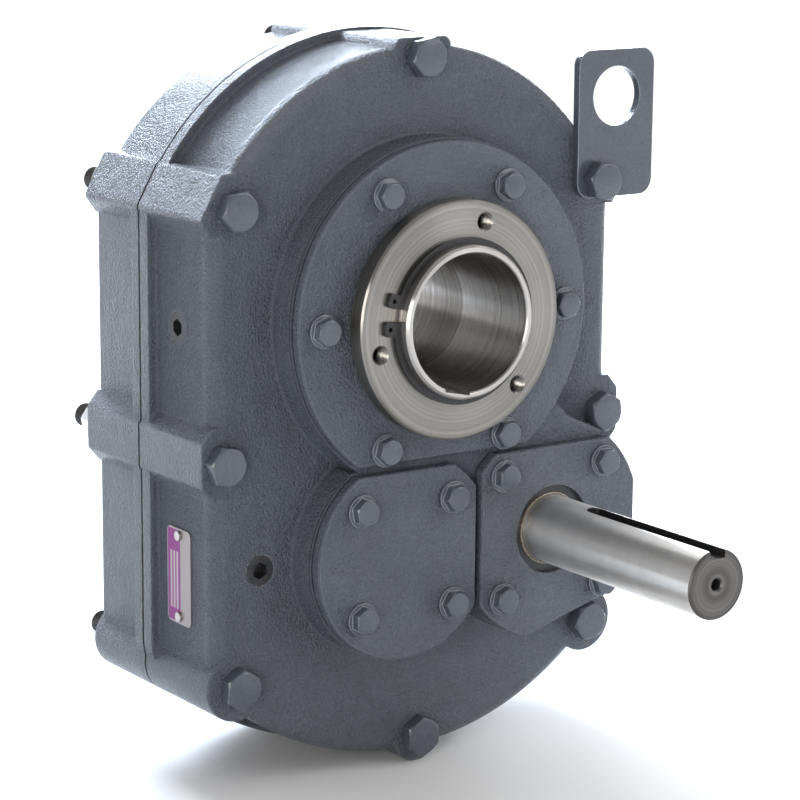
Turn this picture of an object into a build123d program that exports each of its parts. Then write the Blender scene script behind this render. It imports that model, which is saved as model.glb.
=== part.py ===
from build123d import *
import math
import os

# Shaft mounted speed reducer with a hollow output hub and a parallel input shaft.
# Millimetres. X is to the right of the front face, Z is up and Y runs from front to rear.
# The origin is on the output hub axis at the joint between the two housing halves.

# Shaft places and tooth numbers
first_module = 2.5
first_pinion_teeth = 18
first_gear_teeth = 58
second_module = 3.5
second_pinion_teeth = 13
second_gear_teeth = 59
second_shift = 0.3
pressure_angle = 20.0
backlash = 0.3
countershaft_x = -24.0
input_rise = 1.7

# Fits
snug = 0.02
running = 0.06
hole_play = 0.35

# Housing halves
case_radius = 137.5
case_half_width = 126.5
case_bottom_radius = 168.0
case_bottom_centre_z = -71.0
case_corner_radius = 26.0
front_case_depth = 62.0
front_case_edge = 9.0
rear_case_depth = 54.5
rear_case_edge = 4.0
case_wall = 8.0
lip_step = 5.0
lip_thickness = 8.5
land_depth = 79.0
land_margin = 1.2
bearing_wall = 8.0
land_fill = [(-30, -66), (72, -50), (86, -63.5), (108, -73.5), (100, -105), (-20, -105)]

# Bolt bosses of the housing, at the front view's places
top_bolt_inset = 6.5
upper_bolt_inset = 13.5
middle_bolt_inset = 5.8
lower_bolt_inset = 14.0
bottom_bolt_inset = 9.0
upper_bolt_z = 60.5
middle_bolt_z = -67.0
lower_bolt_z = -184.5
top_boss_width = 35.0
top_boss_rise = 3.5
lower_boss_radius = 18.0
bottom_boss_radius = 15.0
side_boss_rise = 6.3
upper_boss_inner = 12.0
upper_boss_shoulder = 7.0
upper_boss_above = 18.2
upper_boss_corner = 4.5
upper_boss_below = 13.5
boss_corner_radius = 5.0
column_radius = 13.5
middle_boss_half = 11.5
middle_boss_slope = 7.5

# Housing bolts and nuts
case_bolt_radius = 6.35
case_bolt_flats = 19.05
case_bolt_head = 7.9
case_nut_height = 11.1
case_bolt_stickout = 15.4
small_bolt_radius = 3.97
small_bolt_flats = 12.7
small_bolt_head = 5.3
small_bolt_grip = 14.0
washer_radius = 8.7
washer_thickness = 1.65
washer_sides = 12
shank_sides = 8

# Seal carriers and covers
carrier_radius = 90.4
carrier_flat_z = -73.0
carrier_thickness = 6.0
carrier_bolt_circle = 75.5
carrier_bolt_count = 6
cover_thickness = 7.0
pilot_length = 9.0
edge_chamfer = 0.8
countershaft_cover_radius = 54.5
countershaft_cover_top = 45.6
countershaft_cover_side = 44.2
countershaft_bolt_half = 28.5
input_cover_radius = 59.5
input_cover_top = 45.5
input_cover_left = 47.3
input_cover_right = 56.0
input_cover_low = 50.5
input_cover_low_angle = -73.9
input_bolt_half = 33.5

# Output hub and what is fitted to it
hub_half_length = 106.3
hub_end_radius = 39.5
hub_seal_radius = 44.5
hub_journal_radius = 45.0
hub_body_radius = 48.0
hub_collar_radius = 54.0
hub_collar_width = 7.0
hub_mouth_radius = 35.7
hub_straight_radius = 32.1
hub_taper_length = 50.8
hub_keyway_width = 15.9
hub_keyway_floor = 36.6
hub_keyway_angle = -102.7
hub_end_chamfer = 1.2
backup_plate_radius = 61.8
backup_plate_thickness = 10.0
backup_plate_face = 98.3
backup_plate_chamfer = 1.0
puller_hole_circle = 51.7
puller_hole_radius = 4.0
puller_hole_angle = 74.3
puller_hole_count = 3
ring_outer_radius = 43.0
ring_groove_radius = 38.0
ring_thickness = 2.5
ring_gap_angle = 9.0
ring_gap_centre = 170.8
ring_lug_reach = 49.0
ring_lug_width = 7.5
ring_lug_hole = 1.3

# Gears and shafts, along the depth
second_gear_front = -42.0
second_gear_width = 44.0
second_pinion_extra = 1.0
first_gear_front = 12.0
first_gear_width = 26.0
first_pinion_extra = 1.0
gear_hub_margin = 15.0
gear_rim_depth = 8.0
second_web = 16.0
first_web = 12.0
output_key_width = 16.0
output_key_height = 10.0
counter_key_width = 10.0
counter_key_height = 8.0
counter_seat_radius = 19.0
counter_collar_radius = 23.0
counter_collar_width = 7.0
counter_neck_radius = 18.5
counter_spacer_wall = 5.0
input_body_radius = 23.0
input_neck_radius = 18.8
input_neck_width = 3.0
input_shaft_radius = 18.256
input_journal_radius = 18.5
input_journal_end = 88.0
input_shaft_end = 218.5
input_keyway_width = 9.53
input_keyway_depth = 4.76
input_keyway_start = 117.7
input_seam_angle = 15.0
shaft_chamfer = 1.0

# Tapered roller bearings: bore radius, outer radius, width, roller radius, length, count and tilt
output_bearing = dict(bore=45.0, outer=62.5, width=23.0, roller=3.6, length=14.0, count=20, tilt=12.0)
counter_bearing = dict(bore=15.0, outer=31.0, width=16.0, roller=3.7, length=8.4, count=12, tilt=13.0)
input_bearing = dict(bore=20.0, outer=40.0, width=18.0, roller=4.6, length=10.0, count=12, tilt=13.0)
roller_gap = 0.05
roller_sides = 6
cone_rib_width = 2.6
cone_rib_height = 2.0

# Oil seals
output_seal_outer = 57.5
output_seal_width = 10.0
output_seal_recess = 1.0
input_seal_outer = 24.1
input_seal_width = 8.0
input_seal_recess = 3.0
seal_flange = 2.5
throat_margin = 3.5

# Plugs, dowels, lifting plate and nameplate
plug_radius = 8.0
plug_length = 7.0
plug_socket_flats = 7.94
plug_socket_depth = 5.0
side_plug_y = -29.0
side_plug_z = -1.7
face_plug_place = (-98.7, -125.0)
dowel_radius = 4.0
dowel_length = 28.0
dowel_places = [(-119.5, 20.0), (119.5, -130.0)]
dowel_column_radius = 9.5
lifting_width = 51.0
lifting_height = 79.0
lifting_thickness = 4.76
lifting_corner_radius = 8.5
lifting_left_margin = 14.5
lifting_low_margin = 9.5
lifting_hole_radius = 15.9
lifting_hole_across = 11.0
lifting_hole_above = 44.5
nameplate_width = 23.0
nameplate_height = 50.5
nameplate_thickness = 0.8
nameplate_corner_radius = 3.0
nameplate_y = -29.8
nameplate_z = -131.0
rivet_radius = 1.6
rivet_head_radius = 2.6
rivet_head_height = 1.2
rivet_depth = 4.0
rivet_half_spacing = 21.5

# Sizes worked out from the ones above
first_distance = first_module * (first_pinion_teeth + first_gear_teeth) / 2
second_distance = second_module * (second_pinion_teeth + second_gear_teeth) / 2
countershaft_z = -math.sqrt(second_distance ** 2 - countershaft_x ** 2)
input_x = countershaft_x + math.sqrt(first_distance ** 2 - input_rise ** 2)
input_z = countershaft_z + input_rise
output_axis = (0.0, 0.0)
countershaft_axis = (countershaft_x, countershaft_z)
input_axis = (input_x, input_z)
carrier_face = land_depth + carrier_thickness
cover_face = land_depth + cover_thickness
cup_outer_face = land_depth - pilot_length
plate_back = backup_plate_face - backup_plate_thickness
second_gear_rear = second_gear_front + second_gear_width
first_gear_rear = first_gear_front + first_gear_width
small_bolt_reach = land_depth - small_bolt_grip
top_boss_z = case_radius + top_boss_rise
side_boss_x = case_half_width + side_boss_rise
top_bolt = (0.0, case_radius - top_bolt_inset)
upper_bolt = (case_half_width - upper_bolt_inset, upper_bolt_z)
middle_bolt = (case_half_width - middle_bolt_inset, middle_bolt_z)
lower_bolt = (case_half_width - lower_bolt_inset, lower_bolt_z)
bottom_bolt = (0.0, case_bottom_centre_z - case_bottom_radius + bottom_bolt_inset)
case_bolts = [top_bolt, bottom_bolt]
for bolt_x, bolt_z in (upper_bolt, middle_bolt, lower_bolt):
    case_bolts += [(bolt_x, bolt_z), (-bolt_x, bolt_z)]


def bar(outline, near, far):
    """Carry an outline drawn in X and Z from depth near to depth far."""
    return extrude(Plane.XZ.offset(-far) * outline, amount=far - near)


def rod(radius, near, far, place=output_axis):
    """Round bar along the depth, with its axis through place."""
    return bar(Pos(*place) * Circle(radius), near, far)


def turned(stations, place=output_axis, start=0.0):
    """Turn a closed profile of (radius, depth) corners about the axis through place.

    The turned surfaces begin at the start angle above the X direction.
    """
    profile = make_face(Polyline(*stations, close=True))
    return Pos(place[0], 0, place[1]) * Rot(0, -start, 0) * revolve(profile, Axis.Y)


def mirrored(shape):
    """The same piece on the rear side of the joint."""
    return mirror(shape, Plane.XZ)


def around(radius, count, start, centre=output_axis):
    """Places spaced evenly on a circle in the front view."""
    places = []
    for step in range(count):
        angle = math.radians(start + 360.0 * step / count)
        places.append((centre[0] + radius * math.cos(angle), centre[1] + radius * math.sin(angle)))
    return places


def square(half, centre):
    """Four places at the corners of a square."""
    return [(centre[0] + sx * half, centre[1] + sz * half) for sx in (-1, 1) for sz in (-1, 1)]


def union(shapes):
    """Fuse a list of solids or sketches that overlap."""
    whole = shapes[0]
    for shape in shapes[1:]:
        whole = whole + shape
    return whole


def separate(shapes):
    """Keep solids apart, as one group."""
    solids = []
    for shape in shapes:
        solids += list(shape.solids())
    return Compound(children=solids)


def hexagon(flats):
    """Hexagon by its width across flats, with a corner at the top."""
    return RegularPolygon(radius=flats / 2, side_count=6, major_radius=False, rotation=30)


def peg(radius, near, far, place, sides=shank_sides):
    """Bar with flat sides, for the shanks, holes and washers of the fasteners."""
    return bar(Pos(*place) * RegularPolygon(radius=radius, side_count=sides), near, far)


def hex_block(flats, near, far, place):
    """Hexagonal head or nut."""
    return bar(Pos(*place) * hexagon(flats), near, far)


def hex_bolt(radius, flats, head, seat, reach, place):
    """Bolt with its head in front of depth seat and its shank running back to depth reach."""
    return hex_block(flats, seat - head, seat, place) + peg(radius, seat, reach, place)


# Outlines in the front view

def case_outline():
    """Round top, straight sides and a shallow round bottom."""
    span = 4 * case_radius
    strip = Rectangle(2 * case_half_width, span)
    top = Circle(case_radius) & strip
    below = Pos(0, -span / 4) * Rectangle(2 * case_half_width, span / 2)
    below = below & Pos(0, case_bottom_centre_z) * Circle(case_bottom_radius)
    outline = top + below
    corners = outline.vertices().filter_by(lambda v: v.Y < case_bottom_centre_z)
    return fillet(corners, case_corner_radius)


def upper_boss():
    """Boss of the upper side bolts: a steep outer face that meets the round top."""
    bolt_x, bolt_z = upper_bolt
    points = [
        (bolt_x - upper_boss_inner, bolt_z + upper_boss_above),
        (bolt_x + upper_boss_shoulder, bolt_z + upper_boss_above),
        (side_boss_x, bolt_z - upper_boss_corner),
        (case_half_width, bolt_z - upper_boss_below),
        (bolt_x - upper_boss_inner, bolt_z - upper_boss_below),
    ]
    boss = make_face(Polyline(*points, close=True))
    rounded = boss.vertices().filter_by(
        lambda v: v.X > bolt_x and v.Y > bolt_z - (upper_boss_corner + upper_boss_below) / 2
    )
    return fillet(rounded, boss_corner_radius * 0.7)


def middle_boss():
    """Boss of the middle side bolts, with sloped shoulders."""
    bolt_z = middle_bolt[1]
    base = middle_boss_half + middle_boss_slope
    points = [
        (case_half_width - case_wall, bolt_z + base),
        (case_half_width, bolt_z + base),
        (side_boss_x, bolt_z + middle_boss_half),
        (side_boss_x, bolt_z - middle_boss_half),
        (case_half_width, bolt_z - base),
        (case_half_width - case_wall, bolt_z - base),
    ]
    boss = make_face(Polyline(*points, close=True))
    rounded = boss.vertices().filter_by(lambda v: v.X > (case_half_width + side_boss_x) / 2)
    return fillet(rounded, boss_corner_radius * 0.6)


def boss_outlines():
    """All bolt bosses on the outside of the case."""
    height = top_boss_z - top_bolt[1] + column_radius
    top = Pos(0, top_boss_z - height / 2) * RectangleRounded(top_boss_width, height, boss_corner_radius)
    right = [upper_boss(), middle_boss(), Pos(*lower_bolt) * Circle(lower_boss_radius)]
    left = [mirror(shape, Plane.YZ) for shape in right]
    return [top, Pos(*bottom_bolt) * Circle(bottom_boss_radius)] + right + left


def half_plane(distance, angle, span):
    """Everything on the inner side of a straight cut at a distance from the centre."""
    return Rot(0, 0, angle) * Pos(distance - span / 2, 0) * Rectangle(span, span)


def countershaft_cover_outline(grow=0.0):
    """Round cover with a flat top and a flat right side."""
    outline = Circle(countershaft_cover_radius + grow)
    span = 4 * countershaft_cover_radius
    outline = outline & half_plane(countershaft_cover_top + grow, 90, span)
    outline = outline & half_plane(countershaft_cover_side + grow, 0, span)
    return Pos(*countershaft_axis) * outline


def input_cover_outline(grow=0.0):
    """Round cover cut straight at the top, at both sides and low on the right."""
    outline = Circle(input_cover_radius + grow)
    span = 4 * input_cover_radius
    cuts = [
        (input_cover_top, 90),
        (input_cover_left, 180),
        (input_cover_right, 0),
        (input_cover_low, input_cover_low_angle),
    ]
    for distance, angle in cuts:
        outline = outline & half_plane(distance + grow, angle, span)
    return Pos(*input_axis) * outline


def carrier_outline():
    """Round flange cut straight at the bottom to clear the covers."""
    span = 4 * carrier_radius
    return Circle(carrier_radius) & half_plane(-carrier_flat_z, -90, span)


def land_outline():
    """Raised machined face that carries the seal carrier and the covers."""
    shapes = [
        Circle(carrier_radius + land_margin),
        countershaft_cover_outline(land_margin),
        input_cover_outline(land_margin / 2),
        make_face(Polyline(*land_fill, close=True)),
    ]
    return union(shapes)


# Bolt places

carrier_bolt_places = around(carrier_bolt_circle, carrier_bolt_count, 0)
countershaft_bolt_places = square(countershaft_bolt_half, countershaft_axis)
input_bolt_places = square(input_bolt_half, input_axis)


def case_shell(depth, edge_radius):
    """One half of the housing with its cavity and bearing bosses, before the bores."""
    outline = case_outline()
    body = bar(outline, -depth, 0)
    face_edges = body.edges().filter_by(lambda e: abs(e.center().Y + depth) < 0.01)
    body = fillet(face_edges, edge_radius)
    lip = bar(offset(outline, lip_step), -lip_thickness, 0)
    bosses = [bar(shape, -depth, 0) for shape in boss_outlines()]
    land = bar(land_outline(), -land_depth, case_wall - depth)
    body = union([body, lip, land] + bosses)
    cavity = offset(outline, -case_wall)
    for place in case_bolts:
        cavity = cavity - Pos(*place) * Circle(column_radius)
    for place in dowel_places:
        cavity = cavity - Pos(*place) * Circle(dowel_column_radius)
        cavity = cavity - Pos(-place[0], place[1]) * Circle(dowel_column_radius)
    body = body - bar(cavity, case_wall - depth, 0)
    return body


def inner_bosses(depth):
    """Rings inside the wall, where a bearing cup reaches further in than the wall does."""
    rings = []
    for bearing, place in bearing_places():
        inner_face = cup_outer_face - bearing["width"]
        if inner_face < depth - case_wall:
            rings.append(rod(bearing["outer"] + bearing_wall, -depth + case_wall / 2, -inner_face, place))
    return rings


def bearing_places():
    """Each bearing with the axis that it carries."""
    return [
        (output_bearing, output_axis),
        (counter_bearing, countershaft_axis),
        (input_bearing, input_axis),
    ]


def case_half(depth, edge_radius, blind_countershaft):
    """One housing half, drawn on the front side."""
    body = union([case_shell(depth, edge_radius)] + inner_bosses(depth))
    for bearing, place in bearing_places():
        closed = blind_countershaft and place == countershaft_axis
        outer_end = cup_outer_face if closed else land_depth + 1
        inner_end = min(cup_outer_face - bearing["width"], depth - case_wall) - 1
        body = body - rod(bearing["outer"] + snug, -outer_end, -inner_end, place)
    for place in case_bolts:
        body = body - peg(case_bolt_radius + hole_play, -depth - 1, 1, place)
    tapped = carrier_bolt_places + input_bolt_places
    if not blind_countershaft:
        tapped = tapped + countershaft_bolt_places
    for place in tapped:
        body = body - peg(small_bolt_radius + snug, -land_depth - 1, -small_bolt_reach + 2, place)
    for place in dowel_places:
        body = body - peg(dowel_radius + snug, -dowel_length / 2 - 0.5, 1, place)
    return body


def plug_hole_cutters():
    """Holes of the plugs in the front half: both side walls and the front face."""
    cutters = []
    for side in (-1, 1):
        wall = side * case_half_width
        hole = Plane(origin=(wall, side_plug_y, side_plug_z), z_dir=(side, 0, 0)) * Cylinder(
            plug_radius + snug, 4 * case_wall
        )
        cutters.append(hole)
    inner = case_wall + 1 - front_case_depth
    cutters.append(rod(plug_radius + snug, -front_case_depth - 1, inner, face_plug_place))
    return cutters


def rivet_places():
    """Depth and height of the two nameplate rivets."""
    return [(nameplate_y, nameplate_z + side * rivet_half_spacing) for side in (-1, 1)]


def front_housing():
    """Front half, with the plug holes and the nameplate's rivet holes."""
    body = case_half(front_case_depth, front_case_edge, blind_countershaft=False)
    for cutter in plug_hole_cutters():
        body = body - cutter
    for depth, height in rivet_places():
        spot = Plane(origin=(-case_half_width, depth, height), z_dir=(-1, 0, 0))
        hole = RegularPolygon(radius=rivet_radius + snug, side_count=shank_sides)
        body = body - spot * extrude(hole, amount=-rivet_depth - 0.2)
    return body


def rear_housing():
    """Rear half: the countershaft bearing sits in a blind pocket."""
    body = mirrored(case_half(rear_case_depth, rear_case_edge, blind_countershaft=True))
    inner = rear_case_depth - case_wall - 1
    return body - rod(plug_radius + snug, inner, rear_case_depth + 1, face_plug_place)


def case_bolt_group():
    """Eight through bolts. The one at the upper right also holds the lifting plate."""
    bolts = []
    for place in case_bolts:
        lifted = lifting_thickness if place == upper_bolt else 0.0
        seat = -front_case_depth - lifted
        reach = rear_case_depth + case_nut_height + case_bolt_stickout
        bolts.append(
            hex_bolt(case_bolt_radius, case_bolt_flats, case_bolt_head, seat, reach, place)
        )
    return separate(bolts)


def case_nut_group():
    """Eight nuts on the rear face."""
    nuts = []
    for place in case_bolts:
        far = rear_case_depth + case_nut_height
        nut = hex_block(case_bolt_flats, rear_case_depth, far, place)
        nuts.append(nut - peg(case_bolt_radius + snug, rear_case_depth - 1, far + 1, place))
    return separate(nuts)


def dowel_group():
    """Two dowel pins across the joint."""
    half = dowel_length / 2
    return separate([peg(dowel_radius, -half, half, place) for place in dowel_places])


def lifting_plate():
    """Flat lifting eye held by the upper right case bolt."""
    bolt_x, bolt_z = upper_bolt
    middle_x = bolt_x - lifting_left_margin + lifting_width / 2
    middle_z = bolt_z - lifting_low_margin + lifting_height / 2
    outline = Pos(middle_x, middle_z) * RectangleRounded(
        lifting_width, lifting_height, lifting_corner_radius
    )
    eye = (bolt_x + lifting_hole_across, bolt_z + lifting_hole_above)
    outline = outline - Pos(*eye) * Circle(lifting_hole_radius)
    outline = outline - Pos(*upper_bolt) * Circle(case_bolt_radius + hole_play)
    return bar(outline, -front_case_depth - lifting_thickness, -front_case_depth)


def plug(frame):
    """Flush plug with a hexagon socket. The frame's z axis points out of the housing."""
    body = Pos(0, 0, -plug_length / 2) * Cylinder(plug_radius, plug_length)
    socket = extrude(hexagon(plug_socket_flats), amount=-plug_socket_depth)
    return frame * (body - socket)


def plug_group():
    """Plugs in both side walls and in the front and rear faces."""
    frames = [
        Plane(origin=(-case_half_width, side_plug_y, side_plug_z), x_dir=(0, -1, 0), z_dir=(-1, 0, 0)),
        Plane(origin=(case_half_width, side_plug_y, side_plug_z), x_dir=(0, 1, 0), z_dir=(1, 0, 0)),
        Plane(
            origin=(face_plug_place[0], -front_case_depth, face_plug_place[1]),
            x_dir=(1, 0, 0),
            z_dir=(0, -1, 0),
        ),
        Plane(
            origin=(face_plug_place[0], rear_case_depth, face_plug_place[1]),
            x_dir=(-1, 0, 0),
            z_dir=(0, 1, 0),
        ),
    ]
    return separate([plug(frame) for frame in frames])


def nameplate():
    """Thin blank plate on the left wall."""
    frame = Plane(
        origin=(-case_half_width, nameplate_y, nameplate_z), x_dir=(0, -1, 0), z_dir=(-1, 0, 0)
    )
    outline = RectangleRounded(nameplate_width, nameplate_height, nameplate_corner_radius)
    for side in (-1, 1):
        hole = RegularPolygon(radius=rivet_radius + snug, side_count=shank_sides)
        outline = outline - Pos(0, side * rivet_half_spacing) * hole
    return frame * extrude(outline, amount=nameplate_thickness)


def rivet_group():
    """Two drive rivets with low heads."""
    rivets = []
    shank = RegularPolygon(radius=rivet_radius, side_count=shank_sides)
    head = RegularPolygon(radius=rivet_head_radius, side_count=washer_sides)
    for depth, height in rivet_places():
        frame = Plane(origin=(-case_half_width, depth, height), z_dir=(-1, 0, 0))
        seat = nameplate_thickness
        pin = Pos(0, 0, -rivet_depth) * extrude(shank, amount=rivet_depth + seat)
        cap = Pos(0, 0, seat) * extrude(head, amount=rivet_head_height)
        rivets.append(frame * (pin + cap))
    return separate(rivets)


# Seal carriers and covers

def bolted_plate(outline, thickness, bolt_places):
    """Flat flange in front of the land, with its shim pack on its back and its bolt holes."""
    front = -land_depth - thickness
    plate = bar(outline, front, -land_depth)
    front_edges = plate.edges().filter_by(lambda e: abs(e.center().Y - front) < 0.01)
    plate = chamfer(front_edges, edge_chamfer)
    for place in bolt_places:
        plate = plate - peg(small_bolt_radius + hole_play, front - 1, 1 - land_depth, place)
    return plate


def pilot(outer, inner, place):
    """Short sleeve that centres a flange in its bore and holds the bearing cup."""
    return rod(outer, -land_depth - 1, -cup_outer_face, place) - rod(
        inner, -land_depth - 2, -cup_outer_face + 1, place
    )


def throat(bearing):
    """Free radius left inside a pilot, in front of the cone's small end."""
    mean = (bearing["bore"] + bearing["outer"]) / 2
    return mean + throat_margin / 2


def seal_carrier():
    """Front carrier of the output seal, with its flange, pilot and seal bore."""
    body = bolted_plate(carrier_outline(), carrier_thickness, carrier_bolt_places)
    body = body + rod(output_bearing["outer"] - snug, -land_depth, -cup_outer_face)
    seal_seat = -carrier_face + output_seal_recess + output_seal_width
    body = body - rod(output_seal_outer + snug, -carrier_face - 1, seal_seat)
    return body - rod(throat(output_bearing), -carrier_face - 1, -cup_outer_face + 1)


def countershaft_cover():
    """Closed cover of the countershaft bearing."""
    body = bolted_plate(countershaft_cover_outline(), cover_thickness, countershaft_bolt_places)
    body = body + pilot(counter_bearing["outer"] - snug, throat(counter_bearing), countershaft_axis)
    return body


def input_cover():
    """Input cover with the seal bore that the shaft comes out of."""
    body = bolted_plate(input_cover_outline(), cover_thickness, input_bolt_places)
    body = body + rod(
        input_bearing["outer"] - snug, -land_depth, -cup_outer_face, input_axis
    )
    seal_seat = -cover_face + input_seal_recess + input_seal_width
    body = body - rod(input_seal_outer + snug, -cover_face - 1, seal_seat, input_axis)
    return body - rod(throat(input_bearing), seal_seat + 1, -cup_outer_face + 1, input_axis) - rod(
        input_journal_radius + throat_margin, seal_seat - 1, seal_seat + 2, input_axis
    )


def backstop_cover():
    """Closed rear cover at the input shaft."""
    body = bolted_plate(input_cover_outline(), cover_thickness, input_bolt_places)
    body = body + pilot(input_bearing["outer"] - snug, throat(input_bearing), input_axis)
    return mirrored(body)


def small_bolts(places, flange):
    """Hexagon bolts in front of a flange, each in one piece with its washer."""
    face = -land_depth - flange
    seat = face - washer_thickness
    bolts = []
    for place in places:
        bolt = hex_bolt(
            small_bolt_radius, small_bolt_flats, small_bolt_head, seat, -small_bolt_reach, place
        )
        bolts.append(bolt + peg(washer_radius, seat, face, place, washer_sides))
    return bolts


# Oil seals

def seal(shaft_radius, outer, width, front, place):
    """Metal cased lip seal: a case with an inner lip that meets the shaft."""
    stations = [
        (outer, front),
        (outer, front + width),
        (outer - seal_flange, front + width),
        (outer - seal_flange, front + seal_flange),
        (shaft_radius + running, front + seal_flange),
        (shaft_radius + running, front),
    ]
    return turned(stations, place)


# Bearings

def race_radius(bearing, depth, side):
    """Raceway radius at a depth from the bearing's middle. Side is 1 at the cup, -1 at the cone."""
    tilt = math.radians(bearing["tilt"])
    mean = (bearing["bore"] + bearing["outer"]) / 2
    apex = mean / math.tan(tilt)
    slant = mean / math.sin(tilt)
    half = math.atan((bearing["roller"] + roller_gap) / slant)
    return (apex - depth) * math.tan(tilt + side * half)


def bearing_cup(bearing):
    """Outer ring, drawn about the depth axis with its small end to the rear."""
    half = bearing["width"] / 2
    return turned(
        [
            (bearing["outer"], -half),
            (bearing["outer"], half),
            (race_radius(bearing, half, 1), half),
            (race_radius(bearing, -half, 1), -half),
        ]
    )


def bearing_cone(bearing):
    """Inner ring with its thrust rib at the large end."""
    half = bearing["width"] / 2
    bore = bearing["bore"] + snug
    rib = race_radius(bearing, -half, -1) + cone_rib_height
    return turned(
        [
            (bore, -half),
            (rib, -half),
            (rib, -half + cone_rib_width),
            (race_radius(bearing, -half + cone_rib_width, -1), -half + cone_rib_width),
            (race_radius(bearing, half, -1), half),
            (bore, half),
        ]
    )


def bearing_rollers(bearing):
    """Ring of tapered rollers whose axes meet on the shaft axis."""
    tilt = math.radians(bearing["tilt"])
    mean = (bearing["bore"] + bearing["outer"]) / 2
    slant = mean / math.sin(tilt)
    taper = bearing["roller"] / slant
    half = bearing["length"] / 2
    frame = Plane(origin=(mean, 0, 0), x_dir=(0, 0, 1), z_dir=(-math.sin(tilt), math.cos(tilt), 0))
    ends = []
    for side in (-1, 1):
        radius = taper * (slant - side * half)
        end = RegularPolygon(radius=radius, side_count=roller_sides, rotation=90)
        ends.append(frame * Pos(0, 0, side * half) * end)
    roller = loft(ends)
    step = 360.0 / bearing["count"]
    return [Rot(0, step * index, 0) * roller for index in range(bearing["count"])]


def seated(shape, bearing, place):
    """Move a bearing piece to its seat in the rear half."""
    depth = cup_outer_face - bearing["width"] / 2
    return Pos(place[0], depth, place[1]) * shape


# Gears

def flank_angle(radius, base_radius):
    """Involute angle at a radius, in radians."""
    angle = math.acos(min(1.0, base_radius / radius))
    return math.tan(angle) - angle


def gear_outline(module, teeth, shift, tooth_angle):
    """Involute spur gear outline with one tooth centred at tooth_angle."""
    pitch = module * teeth / 2
    base = pitch * math.cos(math.radians(pressure_angle))
    tip = pitch + module * (1 + shift)
    root = pitch - module * (1.25 - shift)
    tangent = math.tan(math.radians(pressure_angle))
    thickness = module * (math.pi / 2 + 2 * shift * tangent) - backlash / 2
    half_pitch = thickness / (2 * pitch) + flank_angle(pitch, base)
    start = max(base, root)
    flank = [(radius, half_pitch - flank_angle(radius, base)) for radius in (start, tip)]
    centre = math.radians(tooth_angle)
    points = []
    for tooth in range(teeth):
        middle_angle = centre + 2 * math.pi * tooth / teeth
        next_angle = centre + 2 * math.pi * (tooth + 1) / teeth
        up = [polar(radius, middle_angle - angle) for radius, angle in flank]
        down = [polar(radius, middle_angle + angle) for radius, angle in reversed(flank)]
        foot = polar(root, middle_angle + flank[0][1])
        next_foot = polar(root, next_angle - flank[0][1])
        points += up + down
        if root < base:
            points += [foot, next_foot]
    return make_face(Polyline(*points, close=True))


def polar(radius, angle):
    """Point at a radius and an angle in radians."""
    return (radius * math.cos(angle), radius * math.sin(angle))


def direction(start, end):
    """Angle in degrees from one axis to another in the front view."""
    return math.degrees(math.atan2(end[1] - start[1], end[0] - start[0]))


def key_slot(width, floor, roof, near, far, place, angle):
    """Straight bar of rectangular section that lies radially at an angle."""
    middle = (floor + roof) / 2
    outline = Rot(0, 0, angle) * Pos(middle, 0) * Rectangle(roof - floor, width)
    return bar(Pos(*place) * outline, near, far)


def webbed_gear(module, teeth, shift, tooth_angle, near, far, bore, web, place):
    """Gear blank with a recessed web between its hub and its rim."""
    blank = bar(Pos(*place) * gear_outline(module, teeth, shift, tooth_angle), near, far)
    rim = module * teeth / 2 - module * 1.25 - gear_rim_depth
    hub = bore + gear_hub_margin
    recess = ((far - near) - web) / 2
    for start, end in ((near - 1, near + recess), (far - recess, far + 1)):
        ring = Circle(rim) - Circle(hub)
        blank = blank - bar(Pos(*place) * ring, start, end)
    return blank - rod(bore + snug, near - 1, far + 1, place)


second_mesh = direction(output_axis, countershaft_axis)
first_mesh = direction(countershaft_axis, input_axis)
output_key_roof = hub_body_radius + output_key_height / 2
output_key_floor = hub_body_radius - output_key_height / 2
counter_key_roof = counter_seat_radius + counter_key_height / 2
counter_key_floor = counter_seat_radius - counter_key_height / 2
key_margin = 2.0
key_roof_gap = 0.15


def output_gear():
    """Large gear keyed to the hub, with a tooth space towards the countershaft."""
    space_angle = second_mesh + 180.0 / second_gear_teeth
    gear = webbed_gear(
        second_module,
        second_gear_teeth,
        -second_shift,
        space_angle,
        second_gear_front,
        second_gear_rear,
        hub_body_radius,
        second_web,
        output_axis,
    )
    slot = key_slot(
        output_key_width + 2 * snug,
        output_key_floor,
        output_key_roof + key_roof_gap,
        second_gear_front - 1,
        second_gear_rear + 1,
        output_axis,
        90,
    )
    return gear - slot


def output_gear_key():
    """Parallel key between the hub and its gear."""
    return key_slot(
        output_key_width,
        output_key_floor,
        output_key_roof,
        second_gear_front + key_margin,
        second_gear_rear - key_margin,
        output_axis,
        90,
    )


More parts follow.
